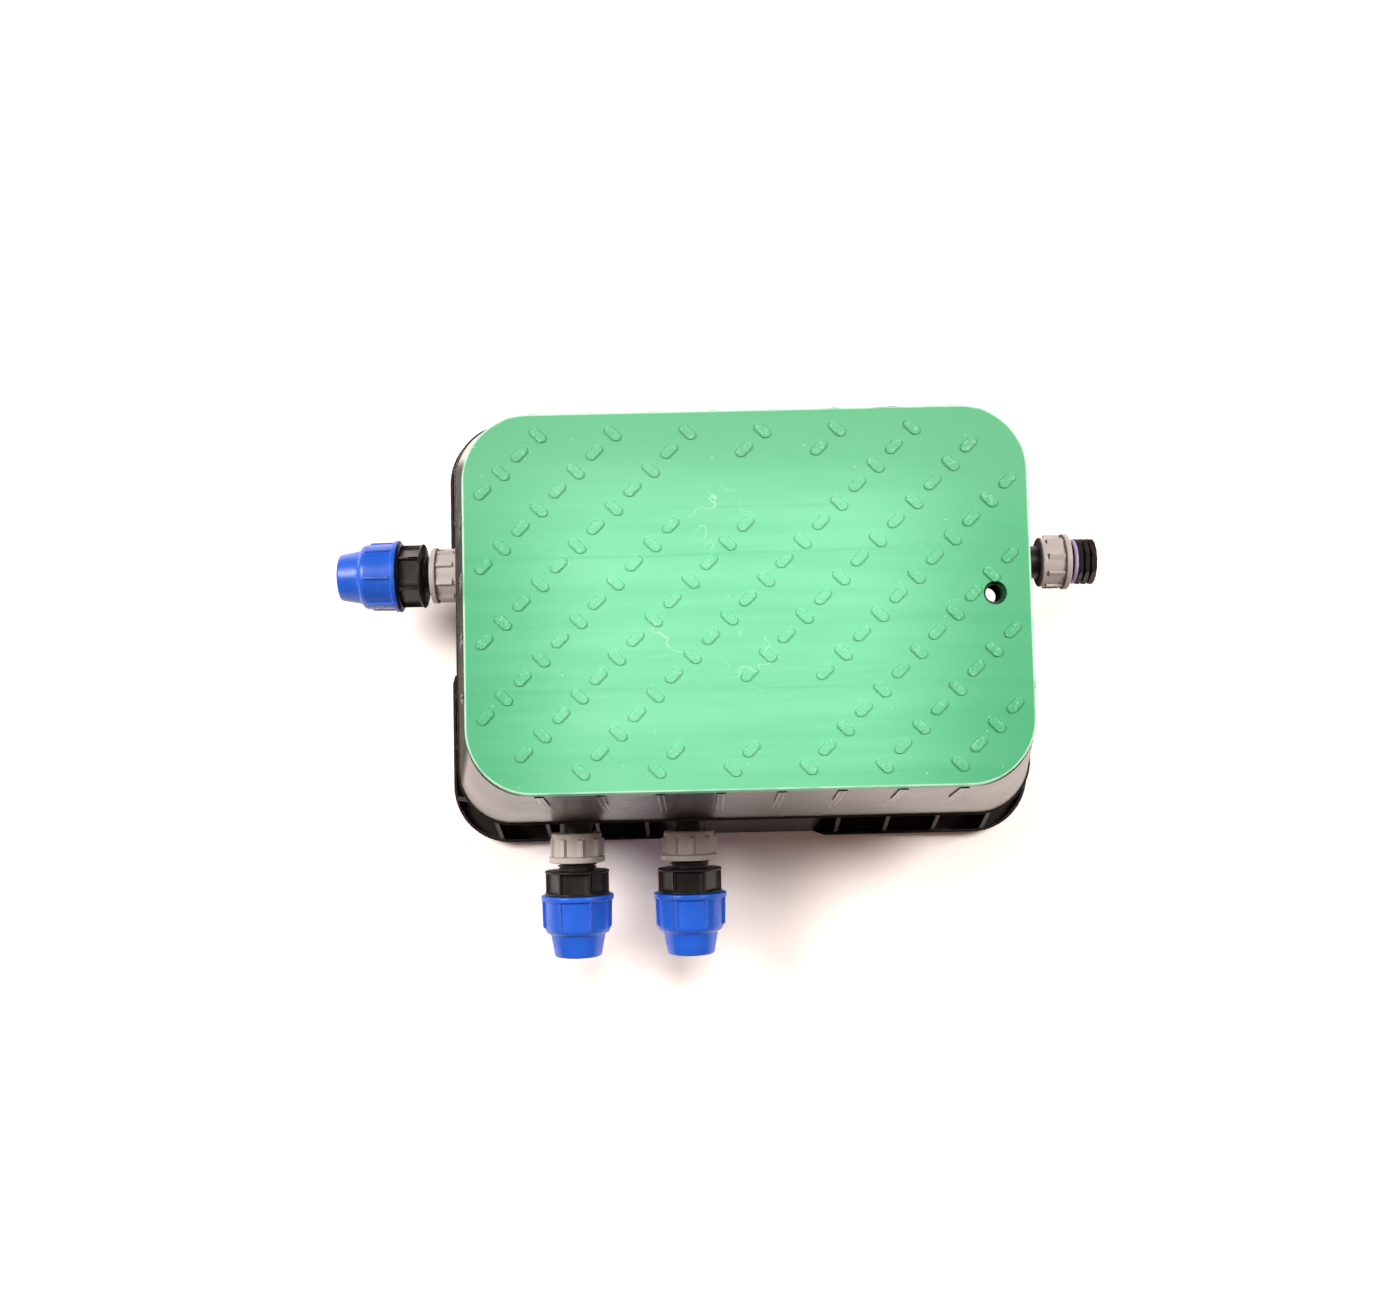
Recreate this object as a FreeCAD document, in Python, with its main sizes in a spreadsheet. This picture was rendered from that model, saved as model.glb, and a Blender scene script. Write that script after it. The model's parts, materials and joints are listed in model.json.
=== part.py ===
"""Irrigation valve box: a moulded box with a studded lid round a two-valve manifold.

The frame has its origin on the ground at the middle of the box, +X towards the plugged
end, +Y away from the outlets and +Z up. Lengths are millimetres.
"""
import FreeCAD, Part
import Sketcher
import math
import os
import re

Vector = FreeCAD.Vector
Rotation = FreeCAD.Rotation

SIZES = {
    # Lid
    "lid_length": 432,
    "lid_width": 290,
    "lid_corner": 51,
    "lid_thickness": 7,
    "skirt_height": 11.2,
    "skirt_thickness": 3.5,
    "skirt_draft": 2,
    "lid_rib_depth": 18,
    "lid_rib_thickness": 3,
    "lid_rib_inset": 11,
    "lid_rib_reach_across": 2,
    "lid_rib_reach_along": 3,
    "lid_rib_pitch": 50,
    "stud_pitch": 14.3,
    "stud_length": 13.6,
    "stud_width": 6.6,
    "stud_relief": 1.3,
    "stud_bevel": 0.9,
    "stud_corner": 2,
    "stud_margin": 14,
    "bare_half_length": 43.5,
    "bare_inner": 71,
    "bare_outer": 101,
    "bolt_place": 188.3,
    "bolt_hole": 13,
    "bolt_counterbore": 18,
    "bolt_counterbore_depth": 5,
    "bolt_boss": 26,
    "hook_width": 24,
    "hook_place": 60,
    "hook_reach": 6,
    "hook_thickness": 3.5,
    "hook_drop": 8.5,
    "join_depth": 1,
    "cut_past": 1,
    # Box
    "box_height": 302,
    "wall_thickness": 4,
    "base_length": 546,
    "base_width": 399,
    "base_corner": 54,
    "flange_width": 19,
    "flange_thickness": 3,
    "lip_height": 13,
    "lip_thickness": 2.5,
    "foot_corner": 50,
    "shoulder_height": 128,
    "shoulder_ledge": 1.8,
    "shoulder_lean": 3.5,
    "shoulder_corner": 48,
    "rim_corner": 50,
    "rim_ledge_thickness": 4,
    "rim_upstand_thickness": 3.5,
    "lid_side_clearance": 0.5,
    "lid_seat_clearance": 0.3,
    "rim_set_in": 0.2,
    "wall_rib_width": 7,
    "wall_rib_relief": 1.2,
    "wall_rib_length": 54,
    "wall_rib_count_long": 4,
    "wall_rib_count_short": 2,
    "wall_rib_pitch": 46.4,
    "gusset_thickness": 3.5,
    "gusset_height": 57,
    "gusset_end_height": 10,
    "gusset_count_long": 4,
    "gusset_count_short": 3,
    "gusset_first_long": 89,
    "gusset_pitch_long": 46,
    "gusset_first_short": 59,
    "gusset_pitch_short": 49,
    "gusset_set_in": 1.5,
    "arch_half_long": 66,
    "arch_half_short": 34,
    "arch_side_run": 13,
    "arch_height": 52,
    "arch_step": 4.2,
    "arch_wall": 3,
    "arch_corner": 2,
    "arch_taper": 6,
    "arch_cut_inside": 8,
    "arch_cut_outside": 5,
    "arch_top_cut": 0.5,
    "lug_length": 24,
    "lug_width": 30,
    "lug_thickness": 6,
    "lug_brace_gap": 3,
    # Pipe line
    "pipe_height": 100,
    "header_place": 46.5,
    "outlet_first": -150,
    "outlet_pitch": 100,
    "inlet_seat_inset": 15,
    "plug_seat_beyond": 6,
    "outlet_seat_inset": 4,
    "tube_diameter": 29.5,
    "bore_diameter": 25,
    "thread_diameter": 33.25,
    "thread_chamfer": 1,
    "thread_clearance": 0.1,
    "valve_thread_length": 20,
    "collar_length": 8,
    "collar_clearance": 0.3,
    "washer_thickness": 2,
    "nut_diameter": 42,
    "nut_length": 29,
    "nut_lip": 4,
    "nut_ring_diameter": 48.4,
    "nut_ring_length": 5,
    "nut_chamfer": 1,
    "nut_rib_relief": 1.2,
    "nut_rib_width": 4.5,
    "nut_rib_start": 3,
    "nut_rib_count": 8,
    "hole_cut_start": 10,
    "hole_cut_length": 30,
    "thread_showing": 8,
    "hole_diameter": 34,
    "nut_hole_diameter": 50,
    "rest_clearance": 0.3,
    # Tees
    "tee_diameter": 40,
    "tee_male_reach": 44,
    "tee_female_reach": 54,
    "tee_branch_reach": 36,
    "tee_collar_diameter": 42,
    "tee_collar_length": 4,
    "tee_neck_start": 20,
    "tee_neck_end": 26,
    "tee_branch_shoulder": 19,
    "tee_branch_neck": 22,
    "tube_collar_length": 6,
    "tube_collar_cone": 3,
    "collar_set_in": 0.4,
    # Valves
    "valve_half_length": 58,
    "valve_bowl_diameter": 78,
    "valve_flange_thickness": 9,
    "valve_flange_height": 26,
    "valve_chamber_diameter": 64,
    "valve_seat_diameter": 32,
    "valve_seat_bore": 24,
    "valve_floor": 16,
    "valve_bowl_depth": 21,
    "valve_bowl_foot": 16,
    "valve_bowl_belly": 27,
    "valve_belly_height": 11,
    "valve_waist_height": 4,
    "valve_flange_overhang": 6,
    "valve_seat_drop": 1.5,
    "valve_seat_clearance": 0.1,
    "valve_well_diameter": 14,
    "valve_waist_bevel": 2,
    "valve_well_gap": 0.5,
    "valve_outlet_stop": 4,
    "valve_inlet_overlap": 12,
    "valve_neck_cone": 5,
    "diaphragm_thickness": 2.5,
    "diaphragm_boss_wall": 4,
    "diaphragm_bead": 1,
    "diaphragm_boss_height": 3,
    "spring_radius": 9,
    "spring_wire": 1.4,
    "spring_turns": 3,
    "spring_clearance": 0.2,
    "bonnet_thickness": 8,
    "dome_diameter": 58,
    "dome_height": 24,
    "dome_top_diameter": 34,
    "bonnet_wall": 4,
    "bonnet_edge": 1,
    "dome_foot": 3,
    "dome_belly_set_in": 3,
    "dome_belly_share": 0.55,
    "dome_shoulder_share": 0.9,
    "dome_shoulder_spread": 2,
    "dome_inner_set_in": 9,
    "dome_inner_foot": 6,
    "dome_inner_top": 3,
    "stem_hole_extra": 5,
    "solenoid_socket_depth": 10,
    "bleed_hole_depth": 6,
    "bleed_boss_wall": 1,
    "dome_ceiling": 4,
    "screw_circle": 69,
    "screw_count": 6,
    "screw_diameter": 4,
    "screw_head": 7.5,
    "screw_head_height": 3,
    "screw_slot": 1,
    "screw_foot_height": 18,
    "solenoid_place": 34,
    "solenoid_diameter": 28,
    "solenoid_length": 42,
    "solenoid_boss": 24,
    "solenoid_neck": 18,
    "plunger_diameter": 9,
    "plunger_length": 20,
    "plunger_room": 8,
    "plunger_rise": 6,
    "plunger_play": 0.3,
    "plunger_chamfer": 0.6,
    "solenoid_foot": 9.5,
    "solenoid_chamfer": 3,
    "solenoid_edge": 2,
    "solenoid_grip_width": 3,
    "solenoid_grip_relief": 1.2,
    "solenoid_grip_count": 12,
    "gland_diameter": 8,
    "gland_length": 6,
    "gland_bore": 4.4,
    "gland_set_in": 1.5,
    "gland_drop": 9,
    "cap_gap": 0.3,
    "knob_diameter": 26,
    "knob_length": 20,
    "knob_stem": 9,
    "knob_stem_length": 8.5,
    "knob_waist": 4,
    "knob_edge": 1,
    "knob_taper": 3,
    "knob_grip_width": 4.4,
    "knob_grip_count": 6,
    "bleed_place": 24,
    "bleed_head": 11,
    "bleed_length": 9,
    "bleed_stem_inset": 2,
    "bleed_stem_length": 5.7,
    "bleed_slot": 1.6,
    "bleed_slot_depth": 2.5,
    # Compression fittings
    "adapter_diameter": 56,
    "adapter_flats": 50,
    "adapter_disc": 3,
    "adapter_chamfer": 1.5,
    "adapter_length": 20.6,
    "adapter_core_set_in": 1,
    "adapter_web": 3,
    "adapter_panel_depth": 1.6,
    "barrel_diameter": 50,
    "barrel_length": 30,
    "barrel_wall": 4,
    "socket_depth": 22,
    "pipe_diameter": 32,
    "pipe_clearance": 0.3,
    "ring_length": 16,
    "ring_gap": 1.3,
    "ring_set_in": 4,
    "ring_nose_set_in": 4.6,
    "ring_slit": 3,
    "bush_drop": 3.8,
    "bush_play": 0.1,
    "bush_length": 5,
    "seal_drop": 4,
    "seal_play": 0.05,
    "seal_thickness": 5,
    "cap_rim_diameter": 64.6,
    "cap_rim_length": 5,
    "cap_diameter": 59,
    "cap_barrel_length": 37.7,
    "cap_cone_length": 19.7,
    "cap_cone_start": 50,
    "cap_cone_end": 44,
    "cap_rib_relief": 1.2,
    "cap_rib_width": 5,
    "cap_rib_count": 8,
    "cap_rib_root": 2,
    "cap_rim_bevel": 1,
    "cap_ring_room": 3.5,
    "cap_seat_step": 3,
    "cap_barrel_gap": 1,
    "cap_shoulder": 3,
    "cap_lip": 6,
    # End plug
    "plug_thread_showing": 3.5,
    "plug_seal_section": 3.4,
    "plug_head_flats": 40,
    "plug_head_length": 16,
    "plug_groove_depth": 2.4,
    "plug_groove_width": 3.8,
    "plug_groove_first": 4.6,
    "plug_groove_pitch": 5.6,
    "plug_head_chamfer": 1.6,
    "plug_bore_set_in": 1,
    "plug_wall": 4,
}

# Formulas of sizes that several pieces share
PLATE_UNDERSIDE = "(box_height - lid_thickness)"
SKIRT_BOTTOM = "(box_height - skirt_height)"
RIM_SEAT = "(box_height - skirt_height - lid_seat_clearance)"
LID_HALF_X = "(lid_length / 2)"
LID_HALF_Y = "(lid_width / 2)"
UPSTAND_X = "(lid_length / 2 - skirt_thickness - lid_side_clearance)"
UPSTAND_Y = "(lid_width / 2 - skirt_thickness - lid_side_clearance)"
FOOT_X = "(base_length / 2 - flange_width)"
FOOT_Y = "(base_width / 2 - flange_width)"
NUT_BACK = "(collar_length + collar_clearance + nut_lip)"
NUT_FRONT = "(nut_length - collar_length - collar_clearance - nut_lip)"
MALE_START = "washer_thickness"
MALE_THREAD = "(nut_length - collar_length - collar_clearance - nut_lip + thread_showing - washer_thickness)"
PLUG_THREAD = ("(nut_length - collar_length - collar_clearance - nut_lip + plug_thread_showing"
               " - washer_thickness)")
INLET_SEAT = "(inlet_seat_inset - base_length / 2)"
PLUG_SEAT = "(base_length / 2 + plug_seat_beyond)"
OUTLET_SEAT = "(outlet_seat_inset - base_width / 2)"
COLLAR = "(thread_diameter / 2 - collar_set_in)"
TUBE = "(tube_diameter / 2)"
BORE = "(bore_diameter / 2)"
THREAD = "(thread_diameter / 2)"

document = FreeCAD.newDocument("ValveBox")
sheet = document.addObject("Spreadsheet::Sheet", "Sizes")
for row, (alias, number) in enumerate(SIZES.items(), start=1):
    sheet.set(f"A{row}", alias)
    sheet.set(f"B{row}", str(number))
    sheet.setAlias(f"B{row}", alias)
document.recompute()

# Rotations that turn a local +Z axis to a direction of the box
UP = Rotation()
TO_RIGHT = Rotation(Vector(0, 1, 0), 90)
TO_LEFT = Rotation(Vector(0, 1, 0), -90)
TO_FRONT = Rotation(Vector(1, 0, 0), 90)
TO_BACK = Rotation(Vector(1, 0, 0), -90)

# How far the photograph shows the pieces turned about their own axes, in degrees
PLUG_TURN = 11
FRONT_NUT_TURN = 13
SIDE_NUT_TURN = -16

parts = []


def bound(formula):
    """Refer each named size in a formula to its cell of the sheet."""
    def cell(found):
        return f"Sizes.{found.group(0)}" if found.group(0) in SIZES else found.group(0)
    return re.sub(r"[a-z][a-z_0-9]*", cell, str(formula))


def amount(formula):
    """The value of a formula of sizes."""
    return float(sheet.evalExpression(bound(formula)))


def origin_feature(body, role):
    return next(item for item in body.Origin.OriginFeatures if item.Role == role)


def new_body(label):
    body = document.addObject("PartDesign::Body", label)
    body.Label = label
    parts.append(body)
    return body


def place(item, x="0", y="0", z="0", rotation=UP):
    """Turn a piece and bind its place to the sheet."""
    item.Placement = FreeCAD.Placement(Vector(), rotation)
    for axis, formula in zip("xyz", (x, y, z)):
        item.setExpression(f"Placement.Base.{axis}", bound(formula))
    return item


def new_sketch(body, role, height="0"):
    made = body.newObject("Sketcher::SketchObject", "Sketch")
    made.AttachmentSupport = [(origin_feature(body, role), "")]
    made.MapMode = "FlatFace"
    made.setExpression("AttachmentOffset.Base.z", bound(height))
    return made


def pin(made, geometry, point, x, y):
    """Hold one point of a sketch at the place that two formulas give."""
    for kind, formula in (("DistanceX", x), ("DistanceY", y)):
        number = made.addConstraint(
            Sketcher.Constraint(kind, -1, 1, geometry, point, amount(formula)))
        made.setExpression(f"Constraints[{number}]", bound(formula))


def add_loop(made, points):
    """Draw a closed outline of straight edges with every corner held by formulas."""
    first = made.GeometryCount
    corners = [Vector(amount(x), amount(y), 0) for x, y in points]
    count = len(corners)
    made.addGeometry([Part.LineSegment(corners[i], corners[(i + 1) % count])
                      for i in range(count)], False)
    made.addConstraint([Sketcher.Constraint("Coincident", first + i, 2, first + (i + 1) % count, 1)
                        for i in range(count)])
    for i, (x, y) in enumerate(points):
        pin(made, first + i, 1, x, y)


def polygon(body, role, points, height="0"):
    made = new_sketch(body, role, height)
    add_loop(made, points)
    return made


def rectangle_points(x_low, y_low, x_high, y_high):
    return [(x_low, y_low), (x_high, y_low), (x_high, y_high), (x_low, y_high)]


def circle(body, role, radius, height="0", x="0", y="0"):
    made = new_sketch(body, role, height)
    centre = Vector(amount(x), amount(y), 0)
    made.addGeometry(Part.Circle(centre, Vector(0, 0, 1), amount(radius)), False)
    pin(made, 0, 3, x, y)
    number = made.addConstraint(Sketcher.Constraint("Radius", 0, amount(radius)))
    made.setExpression(f"Constraints[{number}]", bound(radius))
    return made


def rounded(body, half_x, half_y, corner, height="0"):
    """A level rectangle about the middle with round corners."""
    made = new_sketch(body, "XY_Plane", height)
    across, along, radius = amount(half_x), amount(half_y), amount(corner)
    inset = radius * (1 - math.sqrt(0.5))
    quarters = ((1, -1), (1, 1), (-1, 1), (-1, -1))
    starts = []
    for i, (sx, sy) in enumerate(quarters):
        near_x = Vector(sx * (across - radius), sy * along, 0)
        near_y = Vector(sx * across, sy * (along - radius), 0)
        middle = Vector(sx * (across - inset), sy * (along - inset), 0)
        ends = (near_x, near_y) if i % 2 == 0 else (near_y, near_x)
        starts.append((ends, middle))
    for i, (ends, middle) in enumerate(starts):
        made.addGeometry(Part.Arc(ends[0], middle, ends[1]), False)
        made.addGeometry(Part.LineSegment(ends[1], starts[(i + 1) % 4][0][0]), False)
    for i, (sx, sy) in enumerate(quarters):
        made.addConstraint(Sketcher.Constraint("Tangent", 2 * i, 2, 2 * i + 1, 1))
        made.addConstraint(Sketcher.Constraint("Tangent", 2 * i + 1, 2, (2 * i + 2) % 8, 1))
        pin(made, 2 * i, 3, f"{sx} * ({half_x} - {corner})", f"{sy} * ({half_y} - {corner})")
        number = made.addConstraint(Sketcher.Constraint("Radius", 2 * i, radius))
        made.setExpression(f"Constraints[{number}]", bound(corner))
    return made


def feature(body, kind, made, **settings):
    item = body.newObject(f"PartDesign::{kind}", kind)
    item.Profile = (made, [""])
    for name, value in settings.items():
        setattr(item, name, value)
    return item


def pad(body, made, length, downward=False, symmetric=False):
    item = feature(body, "Pad", made, Reversed=downward)
    if symmetric:
        item.SideType = "Symmetric"
    item.setExpression("Length", bound(length))
    return item


def pocket(body, made, length, upward=False, symmetric=False):
    item = feature(body, "Pocket", made, Reversed=upward)
    if symmetric:
        item.SideType = "Symmetric"
    item.setExpression("Length", bound(length))
    return item


def turn(body, points, kind="Revolution", role="XZ_Plane", axis="V_Axis"):
    """Turn an outline of (radius, height) points about its own axis."""
    made = polygon(body, role, points)
    return feature(body, kind, made, ReferenceAxis=(made, [axis]), Angle=360)


def loft(body, low, high, kind="AdditiveLoft"):
    return feature(body, kind, low, Sections=[high], Ruled=True)


def polar(body, originals, count, axis="Z_Axis"):
    item = body.newObject("PartDesign::PolarPattern", "PolarPattern")
    item.Originals = originals
    item.Axis = (origin_feature(body, axis), [""])
    item.Angle = 360
    item.Occurrences = count
    body.Tip = item
    return item


def both_ways(body, originals):
    """Repeat features on the other side of the box, left to right and front to back."""
    item = body.newObject("PartDesign::MultiTransform", "MultiTransform")
    mirrors = []
    for role in ("XZ_Plane", "YZ_Plane"):
        mirror = body.newObject("PartDesign::Mirrored", "Mirrored")
        mirror.MirrorPlane = (origin_feature(body, role), [""])
        mirrors.append(mirror)
    item.Originals = originals
    item.Transformations = mirrors
    body.Tip = item
    return item


def wall_half(half_foot, half_rim, height):
    """Half the outer width of the upper wall at a height, on its straight slope."""
    shoulder = f"({half_foot} - shoulder_lean - shoulder_ledge)"
    rise = f"(({height} - shoulder_height) / ({RIM_SEAT} - shoulder_height))"
    return f"({shoulder} - ({shoulder} - {half_rim}) * {rise})"


RIM_X = "(lid_length / 2 + skirt_draft - rim_set_in)"
RIM_Y = "(lid_width / 2 + skirt_draft - rim_set_in)"


def box_walls(body):
    """The two-stage wall with its flange channel, rim and open bottom."""
    outer = rounded(body, "base_length / 2", "base_width / 2", "base_corner")
    pad(body, outer, "lip_height")
    channel = rounded(body, "(base_length / 2 - lip_thickness)", "(base_width / 2 - lip_thickness)",
                      "(base_corner - lip_thickness)", "lip_height")
    pocket(body, channel, "lip_height - flange_thickness")
    stages = (
        ("0", FOOT_X, FOOT_Y, "foot_corner",
         "shoulder_height", f"({FOOT_X} - shoulder_lean)", f"({FOOT_Y} - shoulder_lean)",
         "shoulder_corner"),
        ("shoulder_height", f"({FOOT_X} - shoulder_lean - shoulder_ledge)",
         f"({FOOT_Y} - shoulder_lean - shoulder_ledge)", "(shoulder_corner - shoulder_ledge)",
         RIM_SEAT, RIM_X, RIM_Y, "rim_corner"),
    )
    for low, low_x, low_y, low_corner, high, high_x, high_y, high_corner in stages:
        loft(body, rounded(body, low_x, low_y, low_corner, low),
             rounded(body, high_x, high_y, high_corner, high))
    upstand = rounded(body, UPSTAND_X, UPSTAND_Y, "(lid_corner - skirt_thickness)", RIM_SEAT)
    pad(body, upstand, f"{PLATE_UNDERSIDE} - {RIM_SEAT}")
    cavity = (
        ("0", FOOT_X, FOOT_Y, "foot_corner",
         "shoulder_height", f"({FOOT_X} - shoulder_lean)", f"({FOOT_Y} - shoulder_lean)",
         "shoulder_corner"),
        ("shoulder_height", f"({FOOT_X} - shoulder_lean - shoulder_ledge)",
         f"({FOOT_Y} - shoulder_lean - shoulder_ledge)", "(shoulder_corner - shoulder_ledge)",
         f"({RIM_SEAT} - rim_ledge_thickness)",
         wall_half(FOOT_X, RIM_X, f"({RIM_SEAT} - rim_ledge_thickness)"),
         wall_half(FOOT_Y, RIM_Y, f"({RIM_SEAT} - rim_ledge_thickness)"), "rim_corner"),
    )
    for low, low_x, low_y, low_corner, high, high_x, high_y, high_corner in cavity:
        loft(body,
             rounded(body, f"({low_x} - wall_thickness)", f"({low_y} - wall_thickness)",
                     f"({low_corner} - wall_thickness)", low),
             rounded(body, f"({high_x} - wall_thickness)", f"({high_y} - wall_thickness)",
                     f"({high_corner} - wall_thickness)", high), "SubtractiveLoft")
    mouth = rounded(body, f"({UPSTAND_X} - rim_upstand_thickness)",
                    f"({UPSTAND_Y} - rim_upstand_thickness)",
                    "(lid_corner - skirt_thickness - rim_upstand_thickness)", PLATE_UNDERSIDE)
    pocket(body, mouth, f"{PLATE_UNDERSIDE} - {RIM_SEAT} + rim_ledge_thickness + cut_past")


def box_arches(shells, hollows):
    """The smooth housings of the pipe slots, one at the middle of each side."""
    sides = (("YZ_Plane", FOOT_Y, "base_width", "arch_half_long"),
             ("XZ_Plane", FOOT_X, "base_length", "arch_half_short"))
    for across, foot, base, half in sides:
        step = f"({base} / 2 - arch_step)"
        wide = f"({half} + arch_side_run)"
        inner = f"({foot} - wall_thickness / 2)"
        within = f"({foot} - wall_thickness - arch_cut_inside)"
        narrow = f"({half} - arch_wall)"
        tip = f"({half} - arch_wall - arch_taper)"
        for sign in (-1, 1):
            def level(body, outline, height, across=across, sign=sign):
                if across == "YZ_Plane":
                    return polygon(body, "XY_Plane",
                                   [(run, f"{sign} * ({out})") for run, out in outline], height)
                return polygon(body, "XY_Plane",
                               [(f"{sign} * ({out})", run) for run, out in outline], height)

            def housing(outer):
                return [(f"-{wide}", inner), (wide, inner), (wide, f"({foot} + arch_corner)"),
                        (half, outer), (f"-{half}", outer), (f"-{wide}", f"({foot} + arch_corner)")]

            def cavity(run, out):
                return [(f"-{run}", within), (run, within), (run, out), (f"-{run}", out)]

            low = level(shells, housing(step), "0")
            middle = level(shells, housing(step), "lip_height")
            top = level(shells, [(f"-{half}", inner), (half, inner),
                                 (half, f"({foot} - join_depth)"),
                                 (f"({half} - arch_corner)", foot),
                                 (f"-({half} - arch_corner)", foot),
                                 (f"-{half}", f"({foot} - join_depth)")], "arch_height")
            loft(shells, low, middle)
            loft(shells, middle, top)
            loft(hollows, level(hollows, cavity(narrow, f"({step} - arch_wall)"), "-cut_past"),
                 level(hollows, cavity(tip, f"({foot} - wall_thickness + arch_top_cut)"),
                       "arch_height - arch_wall"))
            notch = level(hollows, [(f"-{wide}", f"({base} / 2)"), (f"-{half}", step), (half, step),
                                    (wide, f"({base} / 2)"), (wide, f"({base} / 2 + arch_cut_outside)"),
                                    (f"-{wide}", f"({base} / 2 + arch_cut_outside)")],
                          "lip_height + cut_past")
            pad(hollows, notch, "lip_height + 2 * cut_past", downward=True)


def box_gussets(body):
    """Upright gussets across the flange channel, as far as one corner of the box."""
    gussets = []
    sides = (("YZ_Plane", FOOT_Y, "base_width", "gusset_first_long", "gusset_pitch_long",
              "gusset_count_long"),
             ("XZ_Plane", FOOT_X, "base_length", "gusset_first_short", "gusset_pitch_short",
              "gusset_count_short"))
    for role, foot, base, first, pitch, count in sides:
        sign = "-1" if role == "YZ_Plane" else "1"
        inner = f"({foot} - shoulder_lean / 2 - wall_thickness / 2)"
        end = f"({base} / 2 - lip_thickness / 2)"
        for i in range(int(SIZES[count])):
            made = polygon(body, role, [
                (f"{sign} * {inner}", "0"), (f"{sign} * {end}", "0"),
                (f"{sign} * {end}", "gusset_end_height"),
                (f"{sign} * ({foot} - gusset_set_in)", "gusset_height"),
                (f"{sign} * {inner}", "gusset_height")], f"({first} + {i} * {pitch})")
            gussets.append(pad(body, made, "gusset_thickness", symmetric=True))
    return both_ways(body, gussets)


def box_wall_ribs(body):
    """Shallow upright ribs on the wall below the rim, on the long sides and the ends."""
    ribs = []
    low = f"({RIM_SEAT} - wall_rib_length)"
    sides = (("YZ_Plane", FOOT_Y, RIM_Y, "wall_rib_count_long"),
             ("XZ_Plane", FOOT_X, RIM_X, "wall_rib_count_short"))
    for role, foot, rim, count in sides:
        sign = "-1" if role == "YZ_Plane" else "1"
        for i in range(int(SIZES[count])):
            made = polygon(body, role, [
                (f"{sign} * ({rim} - wall_thickness / 2)", RIM_SEAT),
                (f"{sign} * ({rim} + wall_rib_relief)", RIM_SEAT),
                (f"{sign} * ({wall_half(foot, rim, low)} + wall_rib_relief)", low),
                (f"{sign} * ({wall_half(foot, rim, low)} - wall_thickness / 2)", low)],
                f"({i} + 0.5) * wall_rib_pitch")
            ribs.append(pad(body, made, "wall_rib_width", symmetric=True))
    return both_ways(body, ribs)


LUG_TOP = f"({PLATE_UNDERSIDE} - lid_rib_depth - lid_seat_clearance)"


def box_lug(body):
    """The lug under the rim that the lid's bolt passes into."""
    wall = f"({wall_half(FOOT_X, RIM_X, LUG_TOP)} - wall_thickness / 2)"
    near = "(bolt_place - lug_length / 2)"
    made = polygon(body, "XY_Plane", rectangle_points(near, "-lug_width / 2", wall, "lug_width / 2"),
                   LUG_TOP)
    pad(body, made, "lug_thickness", downward=True)
    under = f"({LUG_TOP} - lug_thickness)"
    brace = polygon(body, "XZ_Plane", [
        ("bolt_place + bolt_hole / 2 + lug_brace_gap", f"{under} + join_depth"),
        (wall, f"{under} + join_depth"),
        (wall, f"{under} - lug_length")])
    pad(body, brace, "wall_thickness", symmetric=True)


def box_holes(body):
    """Round holes: the bolt's in its lug, and those of the header and the outlets."""
    rise = "(pipe_height + hole_diameter / 2 - tube_diameter / 2 - rest_clearance)"
    bolt = circle(body, "XY_Plane", "bolt_hole / 2", f"{LUG_TOP} + cut_past", "bolt_place", "0")
    pad(body, bolt, "lug_thickness + 2 * cut_past", downward=True)
    for i in range(2):
        made = circle(body, "XZ_Plane", "hole_diameter / 2", f"({FOOT_Y} + hole_cut_start)",
                      f"outlet_first + {i} * outlet_pitch", rise)
        pad(body, made, "hole_cut_length", downward=True)
    right = circle(body, "YZ_Plane", "hole_diameter / 2", f"({FOOT_X} + hole_cut_start)",
                   "header_place", rise)
    pad(body, right, "hole_cut_length", downward=True)
    left = circle(body, "YZ_Plane", "nut_hole_diameter / 2", f"-({FOOT_X} + hole_cut_start)", "header_place",
                  "pipe_height")
    pad(body, left, "hole_cut_length")


def tool_body(label):
    """A body that is joined to a piece or cut from it, and isn't a piece itself."""
    return document.addObject("PartDesign::Body", label)


def box_body():
    walls = tool_body("box_walls")
    housings = tool_body("box_slot_housings")
    hollows = tool_body("box_hollows")
    gussets = tool_body("box_gussets")
    ribs = tool_body("box_ribs")
    lug = tool_body("box_lug")
    box_walls(walls)
    box_arches(housings, hollows)
    box_gussets(gussets)
    box_wall_ribs(ribs)
    box_lug(lug)
    box_holes(hollows)
    solid = document.addObject("Part::MultiFuse", "box_solid")
    solid.Shapes = [walls, housings, gussets, ribs, lug]
    solid.Refine = False
    made = document.addObject("Part::Cut", "box_body")
    made.Base = solid
    made.Tool = hollows
    made.Refine = False
    parts.append(made)
    return made


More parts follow.
